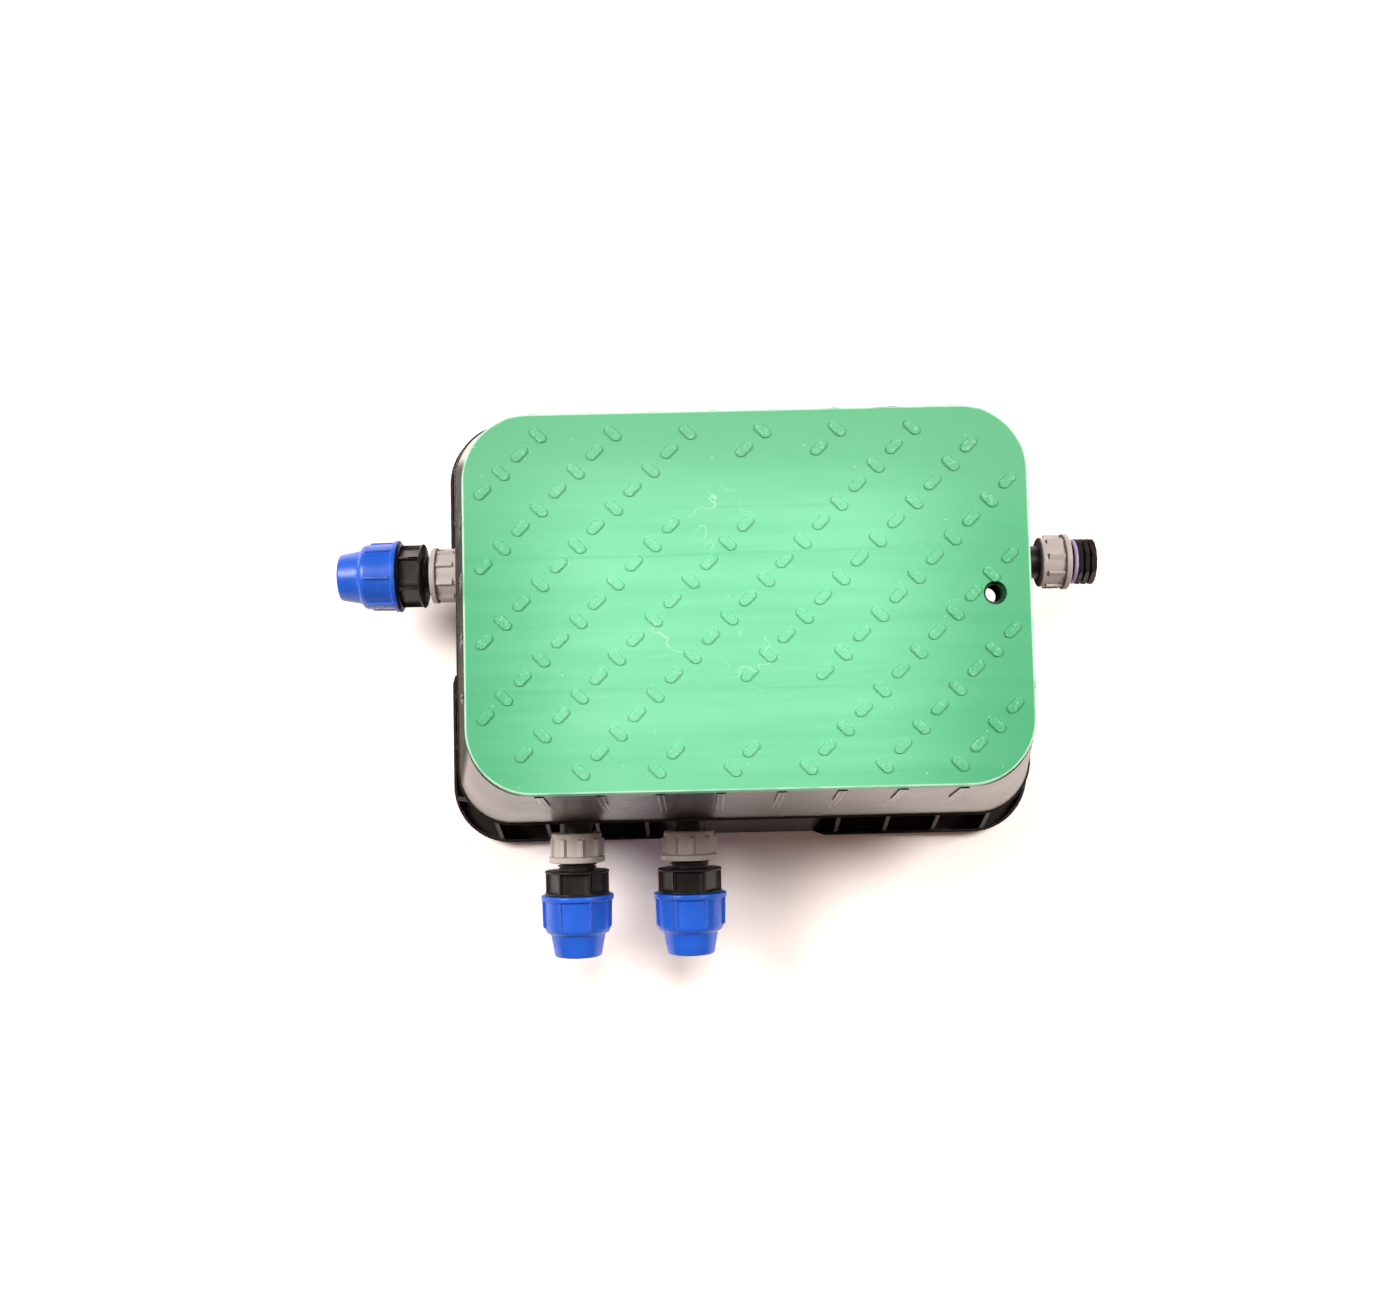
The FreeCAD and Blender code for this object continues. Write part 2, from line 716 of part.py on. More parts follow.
def lid_plate():
    """The lid without its studs: plate, skirt, ribs, bolt boss and hooks."""
    body = tool_body("lid_plate")
    low = rounded(body, f"({LID_HALF_X} + skirt_draft)", f"({LID_HALF_Y} + skirt_draft)",
                  "(lid_corner + skirt_draft)", SKIRT_BOTTOM)
    high = rounded(body, LID_HALF_X, LID_HALF_Y, "lid_corner", "box_height")
    loft(body, low, high)
    inside = rounded(body, f"({LID_HALF_X} - skirt_thickness)", f"({LID_HALF_Y} - skirt_thickness)",
                     "(lid_corner - skirt_thickness)", SKIRT_BOTTOM)
    pocket(body, inside, f"{PLATE_UNDERSIDE} - {SKIRT_BOTTOM}", upward=True)
    rib_x = f"({LID_HALF_X} - lid_rib_inset)"
    rib_y = f"({LID_HALF_Y} - lid_rib_inset)"
    ring = rounded(body, rib_x, rib_y, "(lid_corner - lid_rib_inset)", PLATE_UNDERSIDE)
    pad(body, ring, "lid_rib_depth", downward=True)
    hollow = rounded(body, f"({rib_x} - lid_rib_thickness)", f"({rib_y} - lid_rib_thickness)",
                     "(lid_corner - lid_rib_inset - lid_rib_thickness)",
                     f"({PLATE_UNDERSIDE} - lid_rib_depth)")
    pocket(body, hollow, "lid_rib_depth", upward=True)
    lengthwise = new_sketch(body, "XY_Plane", PLATE_UNDERSIDE)
    crosswise = new_sketch(body, "XY_Plane", PLATE_UNDERSIDE)
    across, along = int(SIZES["lid_rib_reach_across"]), int(SIZES["lid_rib_reach_along"])
    for i in range(-across, across + 1):
        middle = f"{i} * lid_rib_pitch"
        add_loop(lengthwise, rectangle_points(
            f"-({rib_x} - join_depth)", f"{middle} - lid_rib_thickness / 2",
            f"({rib_x} - join_depth)", f"{middle} + lid_rib_thickness / 2"))
    for i in range(-along, along + 1):
        middle = f"{i} * lid_rib_pitch"
        add_loop(crosswise, rectangle_points(
            f"{middle} - lid_rib_thickness / 2", f"-({rib_y} - join_depth)",
            f"{middle} + lid_rib_thickness / 2", f"({rib_y} - join_depth)"))
    pad(body, lengthwise, "lid_rib_depth", downward=True)
    pad(body, crosswise, "lid_rib_depth", downward=True)
    boss = circle(body, "XY_Plane", "bolt_boss / 2", PLATE_UNDERSIDE, "bolt_place", "0")
    pad(body, boss, "lid_rib_depth", downward=True)
    counterbore = circle(body, "XY_Plane", "bolt_counterbore / 2", "box_height", "bolt_place", "0")
    pocket(body, counterbore, "bolt_counterbore_depth")
    hole = circle(body, "XY_Plane", "bolt_hole / 2", "box_height", "bolt_place", "0")
    pocket(body, hole, "lid_thickness + lid_rib_depth")
    for side in (-1, 1):
        hook = polygon(body, "XZ_Plane",
                       [(f"-({rib_x} - join_depth)", f"{RIM_SEAT} - hook_drop"),
                        (f"-({rib_x} + hook_reach)", f"{RIM_SEAT} - hook_drop"),
                        (f"-({rib_x} + hook_reach)", f"{RIM_SEAT} - hook_drop - hook_thickness"),
                        (f"-({rib_x} - join_depth)", f"{RIM_SEAT} - hook_drop - hook_thickness")],
                       f"{side} * hook_place")
        pad(body, hook, "hook_width", symmetric=True)
    return body


def lid_stud():
    """One bevelled stud, lying along X, on the level of the lid's face."""
    length, width = amount("stud_length / 2"), amount("stud_width / 2")
    corner, bevel = amount("stud_corner"), amount("stud_bevel")
    relief = amount("stud_relief")

    def ring(along, across, cut, height):
        points = []
        for sx, sy in ((1, 1), (-1, 1), (-1, -1), (1, -1)):
            near = Vector(sx * along, sy * (across - cut), height)
            far = Vector(sx * (along - cut), sy * across, height)
            points += [near, far] if sx * sy > 0 else [far, near]
        return Part.makePolygon(points + points[:1])

    low = ring(length, width, corner, 0)
    high = ring(length - bevel, width - bevel, corner - bevel / 2, relief)
    return Part.makeLoft([low, high], True, True)


def stud_places():
    """Centres and turns of the studs: a slanting lattice that leaves two places bare."""
    pitch = amount("stud_pitch")
    half_x, half_y = amount(LID_HALF_X), amount(LID_HALF_Y)
    margin, corner = amount("stud_margin"), amount("lid_corner - stud_margin")
    columns, rows = int(half_x / pitch), int(half_y / pitch)
    for column in range(-columns, columns + 1):
        for row in range(-rows, rows + 1):
            if (column - row) % 4 != 0:
                continue
            x, y = column * pitch, row * pitch
            over_x = abs(x) - (half_x - margin - corner)
            over_y = abs(y) - (half_y - margin - corner)
            inside = max(over_x, over_y) <= corner
            if over_x > 0 and over_y > 0:
                inside = math.hypot(over_x, over_y) <= corner
            bare = (abs(x) < amount("bare_half_length")
                    and amount("bare_inner") < abs(y) < amount("bare_outer"))
            if inside and not bare:
                yield x, y, 45 if column % 2 == 0 else -45


def lid():
    plate = lid_plate()
    document.recompute()
    stud = lid_stud()
    level = amount("box_height")
    copies = []
    for x, y, angle in stud_places():
        copy = stud.copy()
        copy.Placement = FreeCAD.Placement(Vector(x, y, level), Rotation(Vector(0, 0, 1), angle))
        copies.append(copy)
    studs = document.addObject("Part::Feature", "lid_studs")
    bolt_place = Vector(amount("bolt_place"), 0, level - 1)
    clear = Part.makeCylinder(amount("bolt_counterbore / 2"), amount("stud_relief") + 2, bolt_place)
    studs.Shape = Part.makeCompound(copies).cut(clear)
    made = document.addObject("Part::MultiFuse", "lid")
    made.Shapes = [plate, studs]
    made.Refine = False
    parts.append(made)
    return made


def turned(rotation, angle):
    """A rotation of a piece after it is turned about its own axis."""
    return rotation.multiply(Rotation(Vector(0, 0, 1), angle))


def swivel_nut(label, x, y, z, rotation):
    """A captive union nut; its seat plane is at the origin and its mouth towards +Z."""
    body = new_body(label)
    outer, ring = "(nut_diameter / 2)", "(nut_ring_diameter / 2)"
    inside = f"({THREAD} + thread_clearance)"
    back = f"-{NUT_BACK}"
    turn(body, [
        (f"({TUBE} + thread_clearance)", back), (f"({outer} - nut_chamfer)", back),
        (outer, f"{back} + nut_chamfer"),
        (outer, f"{NUT_FRONT} - nut_ring_length"), (ring, f"{NUT_FRONT} - nut_ring_length"),
        (ring, NUT_FRONT), (inside, NUT_FRONT), (inside, "-collar_length - collar_clearance"),
        (f"({TUBE} + thread_clearance)", "-collar_length - collar_clearance")])
    root = f"({outer} - join_depth)"
    ramp_foot = f"sqrt({outer} * {outer} - nut_rib_width * nut_rib_width / 4)"
    rib = polygon(body, "XY_Plane", [
        (root, "-nut_rib_width / 2"), (ramp_foot, "-nut_rib_width / 2"),
        (f"{outer} + nut_rib_relief", "nut_rib_width / 2"), (root, "nut_rib_width / 2")],
        f"{back} + nut_rib_start")
    bar = pad(body, rib, "nut_length - nut_ring_length - nut_rib_start + join_depth")
    polar(body, [bar], int(SIZES["nut_rib_count"]))
    return place(body, x, y, z, rotation)


def tube(label, start, end, x, y, z, rotation, male_start=False):
    """A tube with a collar at each end that a nut holds, or a male thread at its start."""
    body = new_body(label)
    points = [(BORE, start)]
    if male_start:
        points += [(THREAD, start), (THREAD, f"{start} + {MALE_THREAD}"),
                   ("(tee_collar_diameter / 2)", f"{start} + {MALE_THREAD}"),
                   ("(tee_collar_diameter / 2)", f"{start} + {MALE_THREAD} + tube_collar_length"),
                   (TUBE, f"{start} + {MALE_THREAD} + tube_collar_length + tube_collar_cone")]
    else:
        points += [(COLLAR, start), (COLLAR, f"{start} + collar_length"),
                   (TUBE, f"{start} + collar_length")]
    points += [(TUBE, f"{end} - collar_length"), (COLLAR, f"{end} - collar_length"),
               (COLLAR, end), (BORE, end)]
    turn(body, points)
    return place(body, x, y, z, rotation)


def tee(label, x):
    """A moulded tee: male thread to the left, collar to the right and to the front."""
    body = new_body(label)
    barrel, collar = "(tee_diameter / 2)", "(tee_collar_diameter / 2)"
    shoulder = f"(tee_male_reach - {MALE_THREAD})"
    turn(body, [
        ("0", "-tee_male_reach"), (THREAD, "-tee_male_reach"), (THREAD, f"-{shoulder}"),
        (collar, f"-{shoulder}"), (collar, f"-{shoulder} + tee_collar_length"),
        (barrel, f"-{shoulder} + tee_collar_length"), (barrel, "tee_neck_start"),
        (TUBE, "tee_neck_end"), (TUBE, "tee_female_reach - collar_length"),
        (COLLAR, "tee_female_reach - collar_length"), (COLLAR, "tee_female_reach"),
        ("0", "tee_female_reach")])
    branch = polygon(body, "YZ_Plane", [
        ("0", "0"), ("0", barrel), ("-tee_branch_shoulder", barrel), ("-tee_branch_neck", TUBE),
        ("-(tee_branch_reach - collar_length)", TUBE),
        ("-(tee_branch_reach - collar_length)", COLLAR), ("-tee_branch_reach", COLLAR),
        ("-tee_branch_reach", "0")])
    feature(body, "Revolution", branch, ReferenceAxis=(branch, ["H_Axis"]), Angle=360)
    through = circle(body, "XY_Plane", BORE, "tee_female_reach")
    pocket(body, through, "tee_female_reach + tee_male_reach")
    side = circle(body, "XZ_Plane", BORE, "tee_branch_reach")
    pocket(body, side, "tee_branch_reach")
    return place(body, x, "header_place", "pipe_height", TO_RIGHT)


def union_washers(seats):
    """One flat washer at each seat, as a group of separate solids."""
    ring = Part.makeCylinder(amount(COLLAR), amount("washer_thickness"))
    washer = ring.cut(Part.makeCylinder(amount(BORE), amount("washer_thickness")))
    copies = []
    for x, y, z, rotation in seats:
        copy = washer.copy()
        copy.Placement = FreeCAD.Placement(Vector(amount(x), amount(y), amount(z)), rotation)
        copies.append(copy)
    group = document.addObject("Part::Feature", "union_washers")
    group.Shape = Part.makeCompound(copies)
    parts.append(group)
    return group


VALVE_TOP = "(valve_flange_height + diaphragm_thickness)"
BONNET_TOP = "(valve_flange_height + diaphragm_thickness + bonnet_thickness)"
PEAK = f"({BONNET_TOP} + dome_height)"
CAP_SEAT = f"(pipe_height + {PEAK})"


def screw_holes(body, height, depth, radius="screw_diameter / 2", upward=False):
    hole = circle(body, "XY_Plane", radius, height, "screw_circle / 2", "0")
    cut = pocket(body, hole, depth, upward=upward)
    polar(body, [cut], int(SIZES["screw_count"]))


def valve_body(label, x, y):
    """The globe body: threaded ends along Y, a round bowl and the seat inside it."""
    body = new_body(label)
    half, bowl = "valve_half_length", "(valve_bowl_diameter / 2)"
    run = f"({half} - valve_thread_length)"
    line = polygon(body, "YZ_Plane", [
        (f"-{half}", "0"), (f"-{half}", THREAD), (f"-{run}", THREAD),
        (f"-{run}", "(tee_collar_diameter / 2)"),
        (f"-({run} - tee_collar_length)", "(tee_collar_diameter / 2)"),
        (f"-({run} - tee_collar_length - valve_neck_cone)", "(tee_diameter / 2)"),
        (f"({run} - tee_collar_length - valve_neck_cone)", "(tee_diameter / 2)"),
        (f"({run} - tee_collar_length)", "(tee_collar_diameter / 2)"),
        (run, "(tee_collar_diameter / 2)"),
        (run, THREAD), (half, THREAD), (half, "0")])
    feature(body, "Revolution", line, ReferenceAxis=(line, ["H_Axis"]), Angle=360)
    turn(body, [
        ("0", "-valve_bowl_depth"), ("valve_bowl_foot", "-valve_bowl_depth"),
        ("valve_bowl_belly", "-valve_belly_height"),
        (f"({bowl} - valve_flange_overhang - valve_waist_bevel)", "valve_waist_height"),
        (f"({bowl} - valve_flange_overhang)", "valve_flange_height - valve_flange_thickness"),
        (bowl, "valve_flange_height - valve_flange_thickness"),
        (bowl, "valve_flange_height"), ("0", "valve_flange_height")])
    turn(body, [
        ("valve_seat_diameter / 2", "valve_floor"), ("valve_chamber_diameter / 2", "valve_floor"),
        ("valve_chamber_diameter / 2", "valve_flange_height + cut_past"),
        ("0", "valve_flange_height + cut_past"), ("0", "valve_flange_height - valve_seat_drop"),
        ("valve_seat_diameter / 2", "valve_flange_height - valve_seat_drop")], "Groove")
    inlet_well = circle(body, "XY_Plane", "valve_well_diameter / 2", "valve_floor + cut_past", "0",
                        "valve_chamber_diameter / 2 - valve_well_diameter / 2 - valve_well_gap")
    pocket(body, inlet_well, "valve_floor + cut_past")
    seat = circle(body, "XY_Plane", "valve_seat_bore / 2", "valve_flange_height")
    pocket(body, seat, "valve_flange_height")
    outlet = circle(body, "XZ_Plane", BORE, half)
    pocket(body, outlet, f"{half} - valve_outlet_stop")
    inlet = circle(body, "XZ_Plane", BORE, f"-{half}")
    pocket(body, inlet, f"{half} - valve_chamber_diameter / 2 + valve_inlet_overlap", upward=True)
    screw_holes(body, "valve_flange_height", "valve_flange_thickness")
    return place(body, x, y, "pipe_height")


def valve_bonnet(label, x, y):
    """The domed bonnet with its solenoid boss, knob neck and bleed boss."""
    body = new_body(label)
    bowl, dome = "(valve_bowl_diameter / 2)", "(dome_diameter / 2)"
    top = "(dome_top_diameter / 2)"
    peak = PEAK
    turn(body, [
        ("0", VALVE_TOP), (bowl, VALVE_TOP), (bowl, f"{BONNET_TOP} - bonnet_edge"),
        (f"({bowl} - bonnet_edge)", BONNET_TOP), (f"({dome} + bonnet_edge)", BONNET_TOP),
        (dome, f"{BONNET_TOP} + dome_foot"),
        (f"({dome} - dome_belly_set_in)", f"{BONNET_TOP} + dome_height * dome_belly_share"),
        (f"({top} + dome_shoulder_spread)", f"{BONNET_TOP} + dome_height * dome_shoulder_share"),
        (top, peak), ("0", peak)])
    boss = circle(body, "XY_Plane", "solenoid_boss / 2", BONNET_TOP, "0", "-solenoid_place")
    pad(body, boss, "dome_height")
    bleed = circle(body, "XY_Plane", "bleed_head / 2 + bleed_boss_wall", BONNET_TOP, "-bleed_place", "0")
    pad(body, bleed, "dome_height")
    turn(body, [
        ("0", f"{VALVE_TOP} - cut_past"), ("valve_chamber_diameter / 2", f"{VALVE_TOP} - cut_past"),
        ("valve_chamber_diameter / 2", f"{VALVE_TOP} + bonnet_thickness - bonnet_wall"),
        (f"({dome} - dome_inner_set_in)", f"{BONNET_TOP} - bonnet_wall + dome_inner_foot"),
        (f"({top} - dome_inner_top)", f"{peak} - bonnet_wall - dome_ceiling"),
        ("0", f"{peak} - bonnet_wall - dome_ceiling")], "Groove")
    stem = circle(body, "XY_Plane", "knob_stem / 2 + thread_clearance", peak)
    pocket(body, stem, "bonnet_wall + stem_hole_extra")
    socket = circle(body, "XY_Plane", "solenoid_neck / 2 + thread_clearance", peak,
                    "0", "-solenoid_place")
    pocket(body, socket, "solenoid_socket_depth")
    screw = circle(body, "XY_Plane", "bleed_head / 2 - bleed_stem_inset + thread_clearance", peak,
                   "-bleed_place", "0")
    pocket(body, screw, "bleed_hole_depth")
    screw_holes(body, BONNET_TOP, "bonnet_thickness")
    return place(body, x, y, "pipe_height")


def bonnet_screws(label, x, y):
    """The screws that hold the bonnet, as a group of separate solids."""
    radius, head = amount("screw_diameter / 2"), amount("screw_head / 2")
    top = amount(BONNET_TOP)
    foot, cap_height = amount("screw_foot_height"), amount("screw_head_height")
    gap = amount("screw_slot")
    shank = Part.makeCylinder(radius, top - foot, Vector(0, 0, foot))
    cap = Part.makeCylinder(head, cap_height, Vector(0, 0, top))
    slot = Part.makeBox(2 * head, gap, gap, Vector(-head, -gap / 2, top + cap_height - gap))
    screw = shank.fuse(cap).cut(slot)
    copies = []
    count = int(amount("screw_count"))
    for i in range(count):
        copy = screw.copy()
        copy.translate(Vector(amount("screw_circle / 2"), 0, 0))
        copy.rotate(Vector(), Vector(0, 0, 1), 360 * i / count)
        copies.append(copy)
    group = document.addObject("Part::Feature", label)
    group.Shape = Part.makeCompound(copies)
    group.Placement = FreeCAD.Placement(Vector(amount(x), amount(y), amount("pipe_height")), UP)
    parts.append(group)
    return group


def diaphragm(label, x, y):
    """The rubber diaphragm with its thick middle over the seat."""
    body = new_body(label)
    low, high = "valve_flange_height", VALVE_TOP
    turn(body, [
        ("0", f"{low} - valve_seat_drop + valve_seat_clearance"),
        ("valve_seat_diameter / 2", f"{low} - valve_seat_drop + valve_seat_clearance"),
        ("valve_seat_diameter / 2 + diaphragm_bead", low), ("valve_bowl_diameter / 2", low),
        ("valve_bowl_diameter / 2", high), ("spring_radius + diaphragm_boss_wall", high),
        ("spring_radius + diaphragm_boss_wall", f"{high} + diaphragm_boss_height"),
        ("0", f"{high} + diaphragm_boss_height")])
    screw_holes(body, f"{high} + cut_past", "diaphragm_thickness + 2 * cut_past")
    return place(body, x, y, "pipe_height")


def diaphragm_spring(label, x, y):
    """The wire spring that holds the diaphragm on its seat, with a six-sided wire."""
    body = new_body(label)
    foot = f"({VALVE_TOP} + diaphragm_boss_height + spring_clearance)"
    rise = f"({PEAK} - bonnet_wall - dome_ceiling - {VALVE_TOP} - diaphragm_boss_height - spring_wire)"
    half, side = "(spring_wire / 2)", "(spring_wire / 4 * sqrt(3))"
    made = polygon(body, "XZ_Plane", [
        (f"spring_radius + {run} * {half}", f"{foot} + {half} + {climb} * {side}")
        for run, climb in ((1, 0), (0.5, 1), (-0.5, 1), (-1, 0), (-0.5, -1), (0.5, -1))])
    coil = feature(body, "AdditiveHelix", made, ReferenceAxis=(made, ["V_Axis"]), Mode=0)
    coil.setExpression("Height", bound(f"{rise} - 2 * spring_clearance"))
    coil.setExpression("Pitch", bound(f"({rise} - 2 * spring_clearance) / spring_turns"))
    return place(body, x, y, "pipe_height")


def solenoid(label, x, y):
    """The coil housing on its threaded neck, with a gland for the leads and a plunger bore."""
    body = new_body(label)
    outer, neck = "(solenoid_diameter / 2)", "(solenoid_neck / 2)"
    bore, bore_end = "plunger_diameter / 2 + plunger_play", "plunger_length + plunger_room"
    turn(body, [
        (bore, "-solenoid_foot"), (neck, "-solenoid_foot"), (neck, "cap_gap"),
        (f"({outer} - solenoid_edge)", "cap_gap"), (outer, "cap_gap + solenoid_edge"),
        (outer, "solenoid_length - solenoid_chamfer"),
        (f"({outer} - solenoid_chamfer)", "solenoid_length"), ("0", "solenoid_length"),
        ("0", bore_end), (bore, bore_end)])
    gland = circle(body, "XZ_Plane", "gland_diameter / 2", f"{outer} - gland_set_in", "0",
                   "solenoid_length - gland_drop")
    pad(body, gland, "gland_length")
    lead_hole = circle(body, "XZ_Plane", "gland_bore / 2", f"{outer} + gland_length - gland_set_in",
                       "0", "solenoid_length - gland_drop")
    pocket(body, lead_hole, "gland_length")
    grip = polygon(body, "XY_Plane",
                   rectangle_points(f"{outer} - join_depth", "-solenoid_grip_width / 2",
                                    f"{outer} + solenoid_grip_relief", "solenoid_grip_width / 2"),
                   "solenoid_chamfer")
    bar = pad(body, grip, "solenoid_length / 2")
    polar(body, [bar], int(SIZES["solenoid_grip_count"]))
    return place(body, x, f"{y} - solenoid_place", CAP_SEAT)


def plunger(label, x, y):
    body = new_body(label)
    low = "(cap_gap - solenoid_foot)"
    high = f"{low} + plunger_length + plunger_rise"
    turn(body, [
        ("0", low), ("plunger_diameter / 2 - plunger_chamfer", low),
        ("plunger_diameter / 2", f"{low} + plunger_chamfer"), ("plunger_diameter / 2", high),
        ("0", high)])
    return place(body, x, f"{y} - solenoid_place", CAP_SEAT)


def flow_knob(label, x, y):
    """The flow control knob with its grips on a threaded stem."""
    body = new_body(label)
    outer = "(knob_diameter / 2)"
    turn(body, [
        ("0", "-knob_stem_length"), ("knob_stem / 2", "-knob_stem_length"),
        ("knob_stem / 2", "cap_gap"), (f"({outer} - knob_waist)", "cap_gap"),
        (f"({outer} - knob_waist / 2)", "cap_gap + knob_waist / 2"),
        (f"({outer} - knob_taper)", "knob_length - knob_edge"),
        (f"({outer} - knob_waist)", "knob_length"), ("0", "knob_length")])
    grip = polygon(body, "XY_Plane",
                   rectangle_points(f"{outer} - knob_waist - join_depth", "-knob_grip_width / 2",
                                    outer, "knob_grip_width / 2"), "knob_waist / 2")
    bar = pad(body, grip, "knob_length - knob_waist")
    polar(body, [bar], int(SIZES["knob_grip_count"]))
    return place(body, x, y, CAP_SEAT)


def bleed_screw(label, x, y):
    """The slotted bleed screw on the side of the bonnet."""
    body = new_body(label)
    outer, stem = "(bleed_head / 2)", "(bleed_head / 2 - bleed_stem_inset)"
    turn(body, [
        ("0", "-bleed_stem_length"), (stem, "-bleed_stem_length"), (stem, "cap_gap"),
        (outer, "cap_gap"), (outer, "bleed_length - 1"), (f"({outer} - 1)", "bleed_length"),
        ("0", "bleed_length")])
    slot = polygon(body, "XY_Plane",
                   rectangle_points("-bleed_head", "-bleed_slot / 2", "bleed_head", "bleed_slot / 2"),
                   "bleed_length")
    pocket(body, slot, "bleed_slot_depth")
    return place(body, f"{x} - bleed_place", y, CAP_SEAT)


def valve(number, x, y):
    valve_body(f"valve_body_{number}", x, y)
    diaphragm(f"diaphragm_{number}", x, y)
    valve_bonnet(f"valve_bonnet_{number}", x, y)
    bonnet_screws(f"bonnet_screws_{number}", x, y)
    diaphragm_spring(f"diaphragm_spring_{number}", x, y)
    solenoid(f"solenoid_{number}", x, y)
    plunger(f"solenoid_plunger_{number}", x, y)
    flow_knob(f"flow_knob_{number}", x, y)
    bleed_screw(f"bleed_screw_{number}", x, y)


ADAPTER_START = f"({MALE_START} + {MALE_THREAD})"
ADAPTER_END = f"({ADAPTER_START} + adapter_length)"
CAP_END = f"({ADAPTER_END} + cap_barrel_length + cap_cone_length)"
PIPE = "(pipe_diameter / 2 + pipe_clearance)"
BARREL_END = f"({ADAPTER_END} + barrel_length)"


def adapter_body(label, x, y, rotation):
    """Male adapter: thread, six-sided middle between two discs, and the pipe socket."""
    body = new_body(label)
    disc, barrel = "(adapter_diameter / 2)", "(barrel_diameter / 2)"
    turn(body, [
        ("0", MALE_START), (f"({THREAD} - thread_chamfer)", MALE_START),
        (THREAD, f"{MALE_START} + thread_chamfer"),
        (THREAD, ADAPTER_START), (f"({disc} - 2 * adapter_chamfer)", ADAPTER_START),
        (disc, f"{ADAPTER_START} + adapter_chamfer"),
        (disc, f"{ADAPTER_START} + adapter_disc"),
        ("(adapter_flats / 2 - adapter_core_set_in)", f"{ADAPTER_START} + adapter_disc"),
        ("(adapter_flats / 2 - adapter_core_set_in)", f"{ADAPTER_END} - adapter_disc"),
        (disc, f"{ADAPTER_END} - adapter_disc"), (disc, f"{ADAPTER_END} - rest_clearance"),
        (barrel, f"{ADAPTER_END} - rest_clearance"), (barrel, BARREL_END), ("0", BARREL_END)])
    across = "(adapter_flats / 2)"
    corner = "(adapter_flats / sqrt(3))"
    points = [(corner, "0"), (f"{corner} / 2", across), (f"-{corner} / 2", across),
              (f"-{corner}", "0"), (f"-{corner} / 2", f"-{across}"), (f"{corner} / 2", f"-{across}")]
    pad(body, polygon(body, "XY_Plane", points, f"{ADAPTER_START} + adapter_disc - join_depth / 2"),
        "adapter_length - 2 * adapter_disc + join_depth")
    panel_half = f"({corner} / 2 - adapter_web)"
    panel = polygon(body, "XY_Plane",
                    rectangle_points(f"-{panel_half}", f"{across} - adapter_panel_depth",
                                     panel_half, f"{across} + 3 * cut_past"),
                    f"{ADAPTER_START} + adapter_disc + adapter_web / 2")
    recess = pocket(body, panel, "adapter_length - 2 * adapter_disc - adapter_web", upward=True)
    polar(body, [recess], len(points))
    turn(body, [
        ("0", f"{MALE_START} - cut_past"), (BORE, f"{MALE_START} - cut_past"),
        (BORE, f"{BARREL_END} - socket_depth"),
        (PIPE, f"{BARREL_END} - socket_depth"),
        (PIPE, f"{BARREL_END} - seal_thickness - barrel_wall"),
        ("(barrel_diameter / 2 - barrel_wall)", f"{BARREL_END} - seal_thickness - barrel_wall"),
        ("(barrel_diameter / 2 - barrel_wall)", f"{BARREL_END} + cut_past"),
        ("0", f"{BARREL_END} + cut_past")], "Groove")
    return place(body, x, y, "pipe_height", rotation)


def compression_nut(label, x, y, rotation):
    """The large nut: rim, ribbed barrel and a narrower cone at the pipe's mouth."""
    body = new_body(label)
    rim, outer = "(cap_rim_diameter / 2)", "(cap_diameter / 2)"
    inside = "(barrel_diameter / 2 + rest_clearance)"
    shoulder = f"({ADAPTER_END} + cap_barrel_length)"
    turn(body, [
        (inside, ADAPTER_END), (rim, ADAPTER_END), (rim, f"{ADAPTER_END} + cap_rim_length"),
        (outer, f"{ADAPTER_END} + cap_rim_length + cap_rim_bevel"), (outer, f"{shoulder} - cap_shoulder"),
        (f"({outer} - cap_shoulder)", shoulder), ("(cap_cone_start / 2)", shoulder),
        ("(cap_cone_end / 2)", f"{CAP_END} - cap_rim_bevel"),
        ("(cap_cone_end / 2 - cap_rim_bevel)", CAP_END),
        (PIPE, CAP_END), (PIPE, f"{CAP_END} - cap_lip"),
        ("(cap_cone_end / 2 - cap_ring_room)", f"{CAP_END} - cap_lip"),
        ("(barrel_diameter / 2 - cap_seat_step)", f"{BARREL_END} + cap_barrel_gap"),
        (inside, f"{BARREL_END} + cap_barrel_gap")])
    bar = polygon(body, "XY_Plane",
                  rectangle_points(f"{outer} - cap_rib_root", "-cap_rib_width / 2",
                                   f"{outer} + cap_rib_relief", "cap_rib_width / 2"),
                  f"{ADAPTER_END} + cap_rim_length - join_depth")
    rib = pad(body, bar, "cap_barrel_length - cap_rim_length - 2 * join_depth")
    polar(body, [rib], int(SIZES["cap_rib_count"]))
    return place(body, x, y, "pipe_height", rotation)


def grip_ring(label, x, y, rotation):
    """The split conical ring that bites on the pipe."""
    body = new_body(label)
    start = f"({BARREL_END} + ring_gap)"
    turn(body, [
        (PIPE, start), ("(barrel_diameter / 2 - ring_set_in)", start),
        ("(cap_cone_end / 2 - ring_nose_set_in)", f"{start} + ring_length"),
        (PIPE, f"{start} + ring_length")])
    slit = polygon(body, "XY_Plane",
                   rectangle_points("0", "-ring_slit / 2", "barrel_diameter", "ring_slit / 2"),
                   f"{start} - cut_past")
    pocket(body, slit, "ring_length + 2 * cut_past", upward=True)
    return place(body, x, y, "pipe_height", rotation)


def packing_bush(label, x, y, rotation):
    body = new_body(label)
    outside = "(barrel_diameter / 2 - barrel_wall - bush_play)"
    start = f"({BARREL_END} - bush_drop)"
    turn(body, [
        (PIPE, start), (outside, start), (outside, f"{start} + bush_length"),
        (PIPE, f"{start} + bush_length")])
    return place(body, x, y, "pipe_height", rotation)


